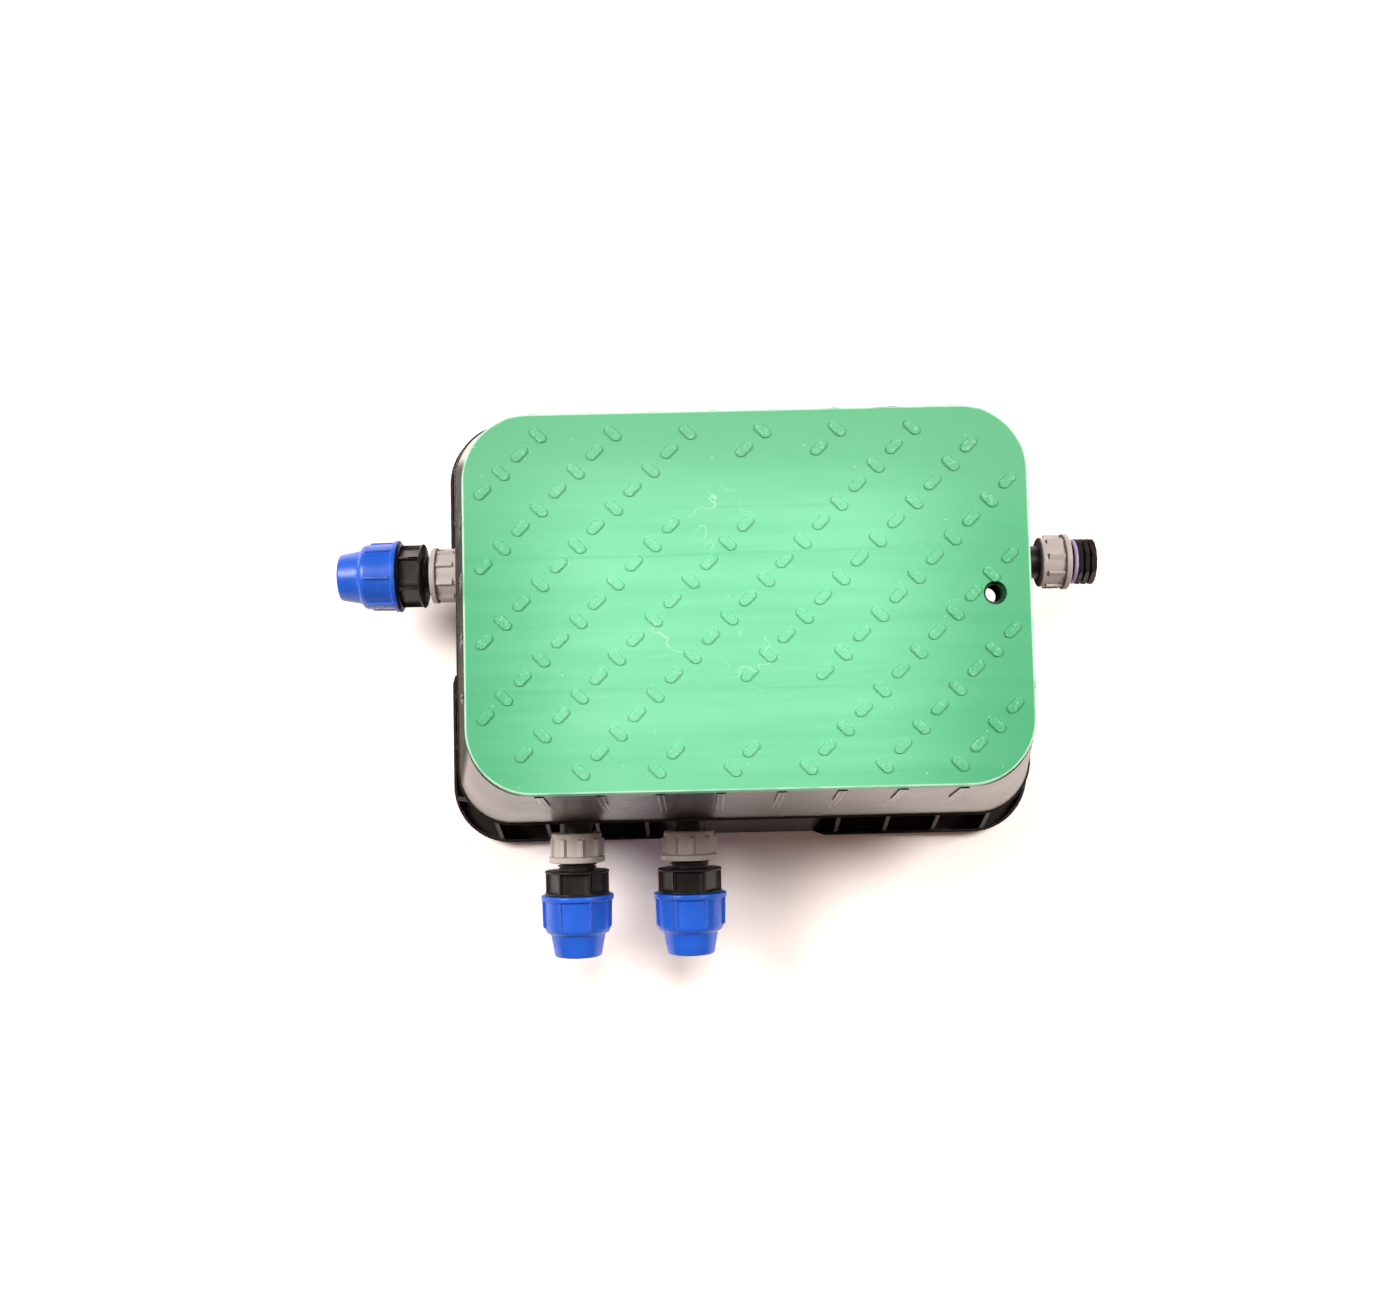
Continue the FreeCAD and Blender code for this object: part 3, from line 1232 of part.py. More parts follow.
def ring_seal(label, middle, section, x, y, z, rotation):
    """A round rubber ring about the local axis."""
    item = document.addObject("Part::Torus", label)
    item.Label = label
    item.setExpression("Radius1", bound(middle))
    item.setExpression("Radius2", bound(section))
    parts.append(item)
    return place(item, x, y, z, rotation)


def compression_fitting(name, x, y, rotation, reach_x, reach_y):
    adapter_body(f"adapter_{name}", x, y, rotation)
    compression_nut(f"compression_nut_{name}", x, y, rotation)
    grip_ring(f"grip_ring_{name}", x, y, rotation)
    packing_bush(f"packing_bush_{name}", x, y, rotation)
    seal = f"({BARREL_END} - seal_drop - seal_thickness / 2)"
    middle = "(barrel_diameter / 2 - barrel_wall - seal_thickness / 2)"
    ring_seal(f"pipe_seal_{name}", middle, "seal_thickness / 2 - pipe_clearance - bush_play",
              f"{x} + {reach_x} * {seal}", f"{y} + {reach_y} * {seal}", "pipe_height", rotation)


def end_plug():
    """The plug that closes the header: thread, ring groove and a grooved eight-sided head."""
    body = new_body("end_plug")
    head = f"({MALE_START} + {PLUG_THREAD} + plug_seal_section)"
    head_end = f"({head} + plug_head_length)"
    flat = "(plug_head_flats / 2)"
    side = "(plug_head_flats / 2 * (sqrt(2) - 1))"
    corner = "(plug_head_flats / 2 * sqrt(4 - 2 * sqrt(2)))"
    bore = f"({BORE} - plug_bore_set_in)"
    turn(body, [
        ("0", MALE_START), (f"({THREAD} - thread_chamfer)", MALE_START),
        (THREAD, f"{MALE_START} + thread_chamfer"),
        (THREAD, f"{head} + join_depth"), ("0", f"{head} + join_depth")])
    points = [(flat, f"-{side}"), (flat, side), (side, flat), (f"-{side}", flat),
              (f"-{flat}", side), (f"-{flat}", f"-{side}"), (f"-{side}", f"-{flat}"),
              (side, f"-{flat}")]
    pad(body, polygon(body, "XY_Plane", points, head), "plug_head_length")
    for i in range(2):
        middle = f"({head} + plug_groove_first + {i} * plug_groove_pitch)"
        bottom = f"({flat} - plug_groove_depth)"
        outside = f"({corner} + cut_past)"
        spread = f"(plug_groove_width / 2 * ({outside} - {bottom}) / plug_groove_depth)"
        turn(body, [
            (bottom, middle), (outside, f"{middle} - {spread} / 2"),
            (outside, f"{middle} + {spread} / 2")], "Groove")
    for level, way in ((head, 1), (head_end, -1)):
        edge = f"({corner} - plug_head_chamfer)"
        outside = f"({corner} + cut_past)"
        turn(body, [
            (edge, level), (outside, level),
            (outside, f"{level} + {way} * (plug_head_chamfer + cut_past)")], "Groove")
    turn(body, [
        ("0", f"{MALE_START} - cut_past"), (bore, f"{MALE_START} - cut_past"),
        (bore, f"{head} + plug_wall"), ("0", f"{head} + plug_wall")], "Groove")
    return place(body, PLUG_SEAT, "header_place", "pipe_height", turned(TO_RIGHT, PLUG_TURN))


def pipework():
    """Everything on the pipe line, from the inlet at the left to the plug at the right."""
    header, level = "header_place", "pipe_height"
    tee_x = ["outlet_first", "outlet_first + outlet_pitch"]
    inner_seat = f"({tee_x[0]} - tee_male_reach - washer_thickness)"
    middle_seat = f"({tee_x[0]} + tee_female_reach)"
    extension_seat = f"({tee_x[1]} + tee_female_reach)"
    branch_seat = f"({header} - tee_branch_reach)"
    valve_y = f"({branch_seat} - washer_thickness - valve_half_length)"
    valve_seat = f"({valve_y} - valve_half_length - washer_thickness)"
    seats = [
        ("inlet", INLET_SEAT, header, level, TO_LEFT),
        ("header", inner_seat, header, level, TO_RIGHT),
        ("middle", middle_seat, header, level, TO_RIGHT),
        ("extension", extension_seat, header, level, TO_RIGHT),
        ("plug", PLUG_SEAT, header, level, TO_RIGHT),
    ]
    for number, x in enumerate(tee_x, start=1):
        seats += [
            (f"valve_inlet_{number}", x, branch_seat, level, TO_FRONT),
            (f"valve_outlet_{number}", x, valve_seat, level, TO_BACK),
            (f"outlet_{number}", x, OUTLET_SEAT, level, TO_FRONT),
        ]
    for name, x, y, z, rotation in seats:
        angle = FRONT_NUT_TURN if rotation == TO_FRONT else SIDE_NUT_TURN
        swivel_nut(f"swivel_nut_{name}", x, y, z, turned(rotation, angle))
    union_washers([seat[1:] for seat in seats])
    for number, x in enumerate(tee_x, start=1):
        tee(f"manifold_tee_{number}", x)
        tube(f"outlet_tube_{number}", "0", f"{valve_seat} - {OUTLET_SEAT}", x, valve_seat, level,
             TO_FRONT)
        valve(number, x, valve_y)
        compression_fitting(f"outlet_{number}", x, OUTLET_SEAT, TO_FRONT, 0, -1)
    tube("inlet_tube", "0", f"{inner_seat} - {INLET_SEAT}", inner_seat, header, level, TO_LEFT)
    tube("extension_tube", "0", f"{PLUG_SEAT} - {extension_seat} - washer_thickness",
         f"{extension_seat} + washer_thickness", header, level, TO_RIGHT, male_start=True)
    compression_fitting("inlet", INLET_SEAT, header, TO_LEFT, -1, 0)
    end_plug()
    seal = f"({MALE_START} + {PLUG_THREAD} + plug_seal_section / 2)"
    ring_seal("plug_seal", f"({THREAD} + plug_seal_section / 2)", "plug_seal_section / 2 - seal_play",
              f"{PLUG_SEAT} + {seal}", header, level, TO_RIGHT)


def check_and_write():
    """Stop on any failed feature or bad shape, then write one file for each piece."""
    document.recompute()
    for item in document.Objects:
        if "Invalid" in item.State or "Error" in item.State:
            raise RuntimeError(f"{item.Label} failed: {item.State}")
    os.makedirs("parts", exist_ok=True)
    for item in parts:
        shape = item.Shape
        if shape.isNull() or not shape.isValid() or not shape.Solids:
            raise RuntimeError(f"{item.Label} has no valid solid")
        shape.exportStep(f"parts/{item.Label}.step")


def main():
    box_body()
    lid()
    pipework()
    check_and_write()


main()
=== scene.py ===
"""Looks of the irrigation valve box: studio, camera, materials and detailed turned pieces."""

import json
import math

import bmesh
import bpy
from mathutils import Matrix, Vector


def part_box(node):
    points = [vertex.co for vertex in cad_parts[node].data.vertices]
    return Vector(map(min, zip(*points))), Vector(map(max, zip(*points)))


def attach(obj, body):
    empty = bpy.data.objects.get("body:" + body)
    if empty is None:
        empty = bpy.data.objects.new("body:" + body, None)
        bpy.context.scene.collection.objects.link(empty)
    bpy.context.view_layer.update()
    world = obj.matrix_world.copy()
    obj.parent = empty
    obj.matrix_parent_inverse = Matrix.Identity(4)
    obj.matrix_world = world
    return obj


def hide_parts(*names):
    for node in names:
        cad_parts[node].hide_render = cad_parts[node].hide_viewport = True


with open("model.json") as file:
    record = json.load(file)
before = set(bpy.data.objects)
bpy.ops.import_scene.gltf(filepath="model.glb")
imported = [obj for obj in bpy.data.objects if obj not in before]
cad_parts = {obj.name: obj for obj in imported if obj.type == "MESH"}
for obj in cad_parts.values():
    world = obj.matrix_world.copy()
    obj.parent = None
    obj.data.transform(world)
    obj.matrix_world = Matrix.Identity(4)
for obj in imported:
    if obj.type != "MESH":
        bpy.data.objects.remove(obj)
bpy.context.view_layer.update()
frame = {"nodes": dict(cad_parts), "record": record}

MM = 0.001

# Camera, found from the stud lattice and the flange of the box
CAMERA_PLACE = (-0.04202, -0.10695, 1.38790)
CAMERA_TURN_DEG = (3.489, -0.174, -1.314)
CAMERA_SENSOR_MM = 36
CAMERA_LENS_MM = 36.93

# Studio: name, place, diameter and power of each lamp
LAMPS = (
    ("left", (-1.65, 0.66, 1.85), 1.00, 46.5),
    ("right", (1.65, 0.66, 1.85), 1.00, 44.0),
    ("top", (-0.10, 0.90, 3.00), 0.80, 9.0),
)
LAMP_COLOUR = (1.0, 0.99, 0.98)
AMBIENT_COLOUR = (1.0, 0.68, 0.50, 1.0)
AMBIENT_LEVEL = 0.13
BACKGROUND = (1.0, 1.0, 1.0, 1.0)

# Floor: its colour to the object and to the camera, a patch of painted light that glows under the
# bolt hole, and the distances between which it goes over into plain white
FLOOR_HALF = 6.0
FLOOR_COLOUR = (0.80, 0.79, 0.78, 1.0)
FLOOR_SEEN = (1.77, 1.62, 1.52, 1.0)
FLOOR_GLOW = (1.0, 0.98, 0.96, 1.0)
FLOOR_UNDER_BOLT_HOLE = (0.250, 0.030, 0.0)
FLOOR_GLOW_SPOT = (0.045, 0.030)
FLOOR_FAR = (1.0, 2.0)

# Male pipe threads of 1 inch, where they show between a nut and the next shoulder
THREAD_PITCH = 2.309 * MM
THREAD_STEPS = 64
THREAD_SECTION = ((-0.46, -0.1), (-0.12, 1.0), (0.12, 1.0), (0.46, -0.1))
THREAD_RISES_PER_TURN = 3
THREAD_ROOT = 15.6 * MM
THREAD_RISE = 1.75 * MM
THREAD_SHOWING = 6.9 * MM
PLUG_THREAD_ROOT = 16.55 * MM
PLUG_THREAD_RISE = 0.80 * MM
PLUG_THREAD_SHOWING = 3.5 * MM

# Turned pieces, in mm: each ring's place from the mouth of the grey nut and its radius.
# A profile gives each angle of one sector, in degrees, and the share of the rise there.
GRIP_COUNT = 9
GRIP_RISE = 2.3
GRIP_SUNK = -1.1
GRIPS = ((-12.5, 0.0), (-9.0, 0.32), (-5.0, 0.66), (-1.2, 0.97), (0.0, 1.0), (1.2, -0.22),
         (2.6, -0.22), (4.0, 0.0), (10.0, 0.0), (16.0, 0.0), (22.0, 0.0))
BARREL = 22.3
GREY_START = ((-26.0, 20.6), (-25.6, 21.6), (-24.6, 22.3), (-21.9, 22.3))
GREY_RIBBED = ((-21.3, GRIP_SUNK), (-20.7, GRIP_SUNK), (-20.3, GRIP_RISE), (-5.9, GRIP_RISE))
GREY_END = ((-5.5, 21.9), (-5.0, 21.9), (-4.9, 24.5), (-4.4, 25.0), (-0.7, 25.0), (0.0, 24.4),
            (0.0, 17.3), (-0.6, 16.75), (-25.0, 16.75), (-25.0, 14.85), (-26.0, 14.85))

RIB_COUNT = 7
RIB_RISE = 2.3
RIBS = ((-2.7, 0.0), (-2.1, 0.80), (-1.3, 1.0), (1.3, 1.0), (2.1, 0.80), (2.7, 0.0), (9.0, 0.0),
        (15.0, 0.0), (21.0, 0.0), (27.0, 0.0), (33.0, 0.0), (39.0, 0.0), (44.0, 0.0))
NUT_OFFSET = 28.6
BLUE_START = ((0.0, 31.2), (0.5, 32.1), (1.2, 32.3), (4.2, 32.1), (4.8, 31.5), (5.0, 30.6))
BLUE_RIBBED = ((5.1, 29.4, 1.0), (26.6, 29.0, 0.96), (27.9, 28.95, 0.80), (28.8, 28.9, 0.35))
BLUE_END = ((29.1, 28.85), (31.0, 28.5), (32.3, 27.8), (33.3, 26.8), (33.9, 25.8), (34.2, 25.1),
            (34.5, 24.5), (35.4, 24.1), (44.0, 22.4), (52.0, 21.0), (53.3, 20.5), (54.0, 19.7),
            (54.2, 18.8), (54.2, 17.0), (53.4, 16.3), (48.2, 16.3), (48.2, 19.0), (34.4, 21.4),
            (31.0, 22.0), (31.0, 25.3), (0.0, 25.3))

HEX_SIDES = 6
WEB = 28.0
WEB_HALF_DEG = 2.3
PANEL = 22.2
HEX_ANGLES = (-3.0, -2.3, 2.3, 3.0, 9.0, 16.0, 23.0, 30.0, 37.0, 44.0, 51.0)
UNION_START = ((-14.7, 15.4), (-13.8, 16.4), (-0.2, 16.4), (0.2, 15.6), (6.7, 15.6), (7.0, 17.4),
               (7.3, 27.9), (7.6, 28.7), (8.9, 28.7), (9.2, 28.0))
UNION_HEX = (9.4, 26.3)
UNION_END = ((26.4, 28.0), (26.7, 28.7), (27.9, 28.7), (28.2, 28.0), (28.3, 25.0), (58.0, 25.0),
             (58.0, 21.0), (49.6, 21.0), (49.6, 16.3), (36.6, 16.3), (36.6, 12.5), (-14.7, 12.5))
UNION_TURN = 30.0

# Each joint's nut and fitting: outward direction, turn of the grips and turn of the ribs
FITTINGS = (
    ("inlet", (-1, 0, 0), -14.0, 8.0),
    ("outlet_1", (0, -1, 0), -22.0, 25.7),
    ("outlet_2", (0, -1, 0), -29.0, 28.0),
    ("plug", (1, 0, 0), 11.0, None),
)

# Rounded moulded edges: of the small pieces by modifiers, of the box and the lid in their finish
FINE_EDGE = 0.35 * MM
FINE_EDGE_STEPS = 2
WIDE_EDGE = 0.8 * MM
# Widths within which edges turn paler in the finish, partly wear and partly painted highlight
WORN_AND_HIGHLIT_EDGE = 0.7 * MM
WORN_AND_HIGHLIT_BOX_EDGE = 0.9 * MM
BEVEL_SAMPLES = 6
PACKED_SHARP_DEG = 28
TURNED_SHARP_DEG = 33
WELD_GAP = 0.002 * MM
LEVEL_GAP = 0.05 * MM
SOFT_EDGED = ("nut_grey", "nut_blue", "fitting_black")

# Colours as they are written in sRGB, from 0 to 255
LID_GREEN = (116, 214, 160)
LID_GREEN_MID = (128, 223, 171)
# Darker green of the flow lines and of the painted shade over the lid's sides, top and bottom
LID_GREEN_FLOW_AND_SHADE = (70, 170, 115)
# Painted shade over the lid's top
LID_GREEN_SHADED_TOP = (112, 186, 138)
# Painted shade inside the bolt hole
LID_BORE_SHADE = (22, 74, 46)
LID_GREEN_PALE = (150, 228, 184)
# Pale scratches and nicks, and the painted highlight along the lid's outline
LID_SCRATCH_AND_HIGHLIGHT = (206, 248, 222)
BOX_BLACK = (22, 19, 18)
BOX_BLACK_DEEP = (15, 13, 12)
EDGE_GREY = (150, 139, 130)
RIB_LINE_PALE = (206, 200, 194)
STEEL = (176, 176, 174)
STEEL_DARK = (142, 142, 140)

# Moulded plastics: main, darker and edge colour (paler edges: wear and painted highlight), gloss,
# and what else differs from the usual
PLASTICS = {
    "nut_grey": ((226, 214, 207), (214, 203, 196), (240, 233, 228), 0.38,
                 {"cloud_share": 0.05}),
    "nut_blue": ((46, 114, 240), (40, 104, 232), (132, 178, 252), 0.30,
                 {"edge_share": 0.75, "cloud_share": 0.02, "even": (0.15, 0.45)}),
    "fitting_black": ((44, 38, 35), (34, 29, 27), (128, 116, 106), 0.34,
                      {"edge_share": 0.42, "specular": 0.4, "cloud_share": 0.03,
                       "even": (0.2, 0.5)}),
    "pipe_black": ((38, 33, 32), (28, 24, 23), (110, 100, 94), 0.40, {}),
    "valve_body": ((30, 30, 31), (22, 22, 23), (104, 102, 100), 0.42, {}),
    "ring_white": ((226, 226, 222), (206, 206, 200), (242, 242, 240), 0.36, {}),
    "solenoid_black": ((26, 26, 28), (18, 18, 20), (96, 94, 92), 0.36, {}),
    "knob_grey": ((120, 122, 124), (100, 102, 104), (168, 168, 168), 0.40, {}),
}

# Rubbers: main and paler colour
RUBBERS = {
    "rubber_black": ((24, 23, 23), (44, 42, 41)),
    "rubber_lilac": ((196, 176, 226), (214, 198, 238)),
}

# How strongly scratches and the gloss's unevenness show on moulded plastic
MARKS_PALE = 0.3
MARKS_DULL = 0.2
GLOSS_SPREAD = (-0.06, 0.10)

# Sockets of a Mix node that mixes colours
MIX_SHARE = 0
MIX_FIRST = 6
MIX_SECOND = 7
MIX_RESULT = 2

# Masks: the cosines between which an edge shows, a noise's middle, and the patches of scratches
EDGE_COSINES = (0.995, 0.86)
NOISE_MIDDLE = 0.5
PATCH_SCALE = 0.7
PATCH_STRETCH = (1.3, 0.8, 1.0)
PATCH_SOFTNESS = 0.02

# The lid: its face, and the places and shares of what is seen on it, painted shade and a painted
# highlight among them
LID_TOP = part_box("lid")[1].z
STUD_RELIEF = 1.3 * MM
PLATE = [vertex.co for vertex in frame["nodes"]["lid"].data.vertices
         if abs(vertex.co.z - LID_TOP + STUD_RELIEF) < LEVEL_GAP]
LID_HALF = (max(place.x for place in PLATE), max(place.y for place in PLATE))
LID_CORNER = 51 * MM
# Painted shade: the lid's middle in X, the shares towards its sides, and zones over its top and
# bottom
LID_MIDDLE = -0.012
LID_SHADED_SIDES = (0.08, 0.225, 0.0, 0.85)
LID_SHADE_ZONES = (
    (LID_GREEN_SHADED_TOP, (0.03, 0.15, 0.0, 0.75)),
    (LID_GREEN_FLOW_AND_SHADE, (0.07, 0.14, 0.0, 0.45)),
    (LID_GREEN_FLOW_AND_SHADE, (-0.10, -0.14, 0.0, 0.16)),
)
LID_SCUFFED = (LID_TOP - 0.9 * MM, LID_TOP - 0.1 * MM)
# Painted highlight along the lid's outline: its distances inwards, and its heights
LID_RIM_HIGHLIGHT = (1.7 * MM, 0.7 * MM)
LID_RIM_HIGHLIGHT_HEIGHT = (LID_TOP - 4 * MM, LID_TOP - 2.5 * MM)
LID_NEAR_EDGE = (3.0 * MM, 2.0 * MM)
# Painted shade inside the bolt hole: its place, and the radii and heights within which it darkens
BOLT_HOLE = (188.3 * MM, 0.0)
BOLT_HOLE_RIM = (9.5 * MM, 8.7 * MM)
BOLT_HOLE_SUNK = (LID_TOP - 1.5 * MM, LID_TOP - 3 * MM)
LID_ROUGH = (0.40, 0.45)
SCUFF_PALE = 0.40
SCUFF_DULL = 0.12
SCRATCH_PALE = 0.6
FAINT_PALE = 0.25
SCRATCHED = ((-0.055, -0.032), (0.007, -0.045), (-0.020, 0.060))
SCRATCHED_RADIUS = (34 * MM, 10.2 * MM)

# Caps over the lid's studs, in mm: outline, and each ring's inset and height over the plate
STUD_LENGTH = 14.2
STUD_WIDTH = 7.4
STUD_STEPS = 28
STUD_SECTION = ((0.0, -0.1), (0.05, 0.6), (0.14, 1.0), (0.27, 1.31), (0.55, 1.44), (1.0, 1.47))

# The box: heights of its gussets (pale edges: wear and painted highlight) and upper wall, and the
# pale pairs of lines at its ribs, whose distance and width are shares of the ribs' pitch
GUSSETS = (65 * MM, 57 * MM, 0.35, 0.80)
UPPER_WALL = (LID_TOP - 232 * MM, LID_TOP - 202 * MM)
BOX_MARKS_PALE = 0.16
BOX_ROUGH = (0.49, 0.54)
BOX_SPECULAR = (0.35, 0.85)
UPPER_GLOSS = 0.26
ENDWISE = (0.90, 0.97)
ENDWISE_DULL = 0.45
ENDWISE_SPECULAR = 0.6
OUTWARD = (0.0, 0.02)
SPECULAR_TINT = (1.0, 0.90, 0.83, 1.0)
WALL_RIB_PITCH = 46.4 * MM
RIBBED_X = (172 * MM, 166 * MM)
RIBBED_Y = (104 * MM, 98 * MM)
RIB_LINE_APART = 0.045
RIB_LINE_WIDTH = 0.018
RIB_LINE_HEIGHT = (LID_TOP - 150 * MM, LID_TOP - 70 * MM)


def linear(colour):
    """A colour written in sRGB as Blender's linear colour."""
    def one(value):
        share = value / 255
        return share / 12.92 if share <= 0.04045 else ((share + 0.055) / 1.055) ** 2.4
    return (*[one(value) for value in colour], 1.0)


class Shader:
    """A small helper that adds nodes to one material and joins them."""

    def __init__(self, name):
        self.material = bpy.data.materials.new(name)
        self.material.use_nodes = True
        self.tree = self.material.node_tree
        self.surface = self.tree.nodes["Principled BSDF"]
        self.place = self.add("ShaderNodeTexCoord").outputs["Object"]

    def add(self, kind, settings=None, **inputs):
        """A new node; an underscore in an input's name stands for a space."""
        node = self.tree.nodes.new(kind)
        for name, value in (settings or {}).items():
            setattr(node, name, value)
        for name, value in inputs.items():
            self.give(node.inputs[name.replace("_", " ")], value)
        return node

    def give(self, socket, value):
        """Join an input to an output, or set it to a constant."""
        if isinstance(value, bpy.types.NodeSocket):
            self.tree.links.new(value, socket)
        else:
            socket.default_value = value

    def math(self, operation, first, second=0.0, clamp=False):
        node = self.tree.nodes.new("ShaderNodeMath")
        node.operation = operation
        node.use_clamp = clamp
        self.give(node.inputs[0], first)
        self.give(node.inputs[1], second)
        return node.outputs[0]

    def stretched(self, stretch):
        node = self.add("ShaderNodeMapping", Vector=self.place)
        node.inputs["Scale"].default_value = stretch
        return node.outputs[0]

    def noise(self, scale, detail=3.0, stretch=None, roughness=0.5):
        place = self.stretched(stretch) if stretch else self.place
        node = self.add("ShaderNodeTexNoise", Vector=place, Scale=scale, Detail=detail,
                        Roughness=roughness)
        return node.outputs["Fac"]

    def between(self, value, low, high, start=0.0, end=1.0):
        """A value's place between low and high, as a smooth step from start to end."""
        node = self.add("ShaderNodeMapRange", {"interpolation_type": "SMOOTHSTEP"}, Value=value)
        node.inputs["From Min"].default_value = low
        node.inputs["From Max"].default_value = high
        node.inputs["To Min"].default_value = start
        node.inputs["To Max"].default_value = end
        return node.outputs[0]

    def mixed(self, share, first, second):
        node = self.add("ShaderNodeMix", {"data_type": "RGBA"})
        self.give(node.inputs[MIX_SHARE], share)
        self.give(node.inputs[MIX_FIRST], first)
        self.give(node.inputs[MIX_SECOND], second)
        return node.outputs[MIX_RESULT]

    def product(self, *values):
        """All the values multiplied with each other."""
        result = values[0]
        for value in values[1:]:
            result = self.math("MULTIPLY", result, value)
        return result

    def highest(self, *values):
        """The highest of all the values."""
        result = values[0]
        for value in values[1:]:
            result = self.math("MAXIMUM", result, value)
        return result

    def across(self, operation, first, second):
        """One value from two vectors, such as their distance."""
        node = self.tree.nodes.new("ShaderNodeVectorMath")
        node.operation = operation
        self.give(node.inputs[0], first)
        self.give(node.inputs[1], second)
        return node.outputs["Value"]

    def normal(self):
        return self.add("ShaderNodeNewGeometry").outputs["Normal"]

    def parts(self, vector):
        """A vector's outputs X, Y and Z."""
        return self.add("ShaderNodeSeparateXYZ", Vector=vector).outputs

    def rounded(self, radius):
        """The surface's normal with its edges rounded to a radius."""
        return self.add("ShaderNodeBevel", {"samples": BEVEL_SAMPLES}, Radius=radius).outputs[0]

    def rib_lines(self, along):
        """A mask that is one on pairs of thin lines across one axis, a rib pitch apart."""
        pitch = self.math("FRACT", self.math("DIVIDE", along, WALL_RIB_PITCH))
        off = self.math("ABSOLUTE", self.math("SUBTRACT", pitch, 0.5))
        off = self.math("ABSOLUTE", self.math("SUBTRACT", off, RIB_LINE_APART))
        return self.between(off, RIB_LINE_WIDTH, 0.4 * RIB_LINE_WIDTH)

    def edges(self, radius):
        """A mask that is one on sharp edges, from the difference to rounded normals."""
        same = self.across("DOT_PRODUCT", self.rounded(radius), self.normal())
        return self.between(same, *EDGE_COSINES)

    def scratches(self, scale, width, amount):
        """Thin curved lines: the level lines of one noise, kept where another is high."""
        wander = self.noise(scale, 2.0)
        off = self.math("ABSOLUTE", self.math("SUBTRACT", wander, NOISE_MIDDLE))
        line = self.between(off, width, 0.0)
        field = self.noise(scale * PATCH_SCALE, 1.0, PATCH_STRETCH)
        patch = self.between(field, 1 - amount, 1 + PATCH_SOFTNESS - amount)
        return self.product(line, patch)

    def bump(self, height, distance, strength=1.0, normal=None):
        node = self.add("ShaderNodeBump", Height=height, Distance=distance, Strength=strength)
        if normal is not None:
            self.give(node.inputs["Normal"], normal)
        return node.outputs[0]

    def finish(self, colour, roughness, normal=None, specular=0.5):
        self.give(self.surface.inputs["Base Color"], colour)
        self.give(self.surface.inputs["Roughness"], roughness)
        self.give(self.surface.inputs["Specular IOR Level"], specular)
        if normal is not None:
            self.give(self.surface.inputs["Normal"], normal)
        return self.material


def moulded(name, colour, dark, edge, gloss, edge_share=0.35, specular=0.5, cloud_share=0.12,
            even=(0.3, 0.7)):
    """Moulded plastic: uneven tone, fine grain, handling marks, paler edges of wear and painted
    highlight.
    """
    made = Shader(name)
    tone = made.between(made.noise(9.0, 4.0), 0.3, 0.75)
    body = made.mixed(tone, linear(dark), linear(colour))
    cloud = made.between(made.noise(38.0, 5.0), 0.56, 0.8, 0.0, cloud_share)
    body = made.mixed(cloud, body, linear(edge))
    marks = made.scratches(26.0, 0.004, 0.42)
    uneven = made.between(made.noise(120.0), *even)
    # Paler edges: partly wear, partly painted highlight
    worn_and_highlit = made.product(made.edges(WORN_AND_HIGHLIT_EDGE), uneven, edge_share)
    body = made.mixed(made.highest(worn_and_highlit, made.product(marks, MARKS_PALE)), body, linear(edge))
    rough = made.between(made.noise(60.0, 4.0), 0.25, 0.75,
                         gloss + GLOSS_SPREAD[0], gloss + GLOSS_SPREAD[1])
    rough = made.math("ADD", rough, made.product(marks, MARKS_DULL), clamp=True)
    skin = made.bump(made.noise(900.0, 2.0), 0.05 * MM, 0.25)
    skin = made.bump(made.noise(70.0, 2.0), 0.15 * MM, 0.25, skin)
    return made.finish(body, rough, skin, specular)


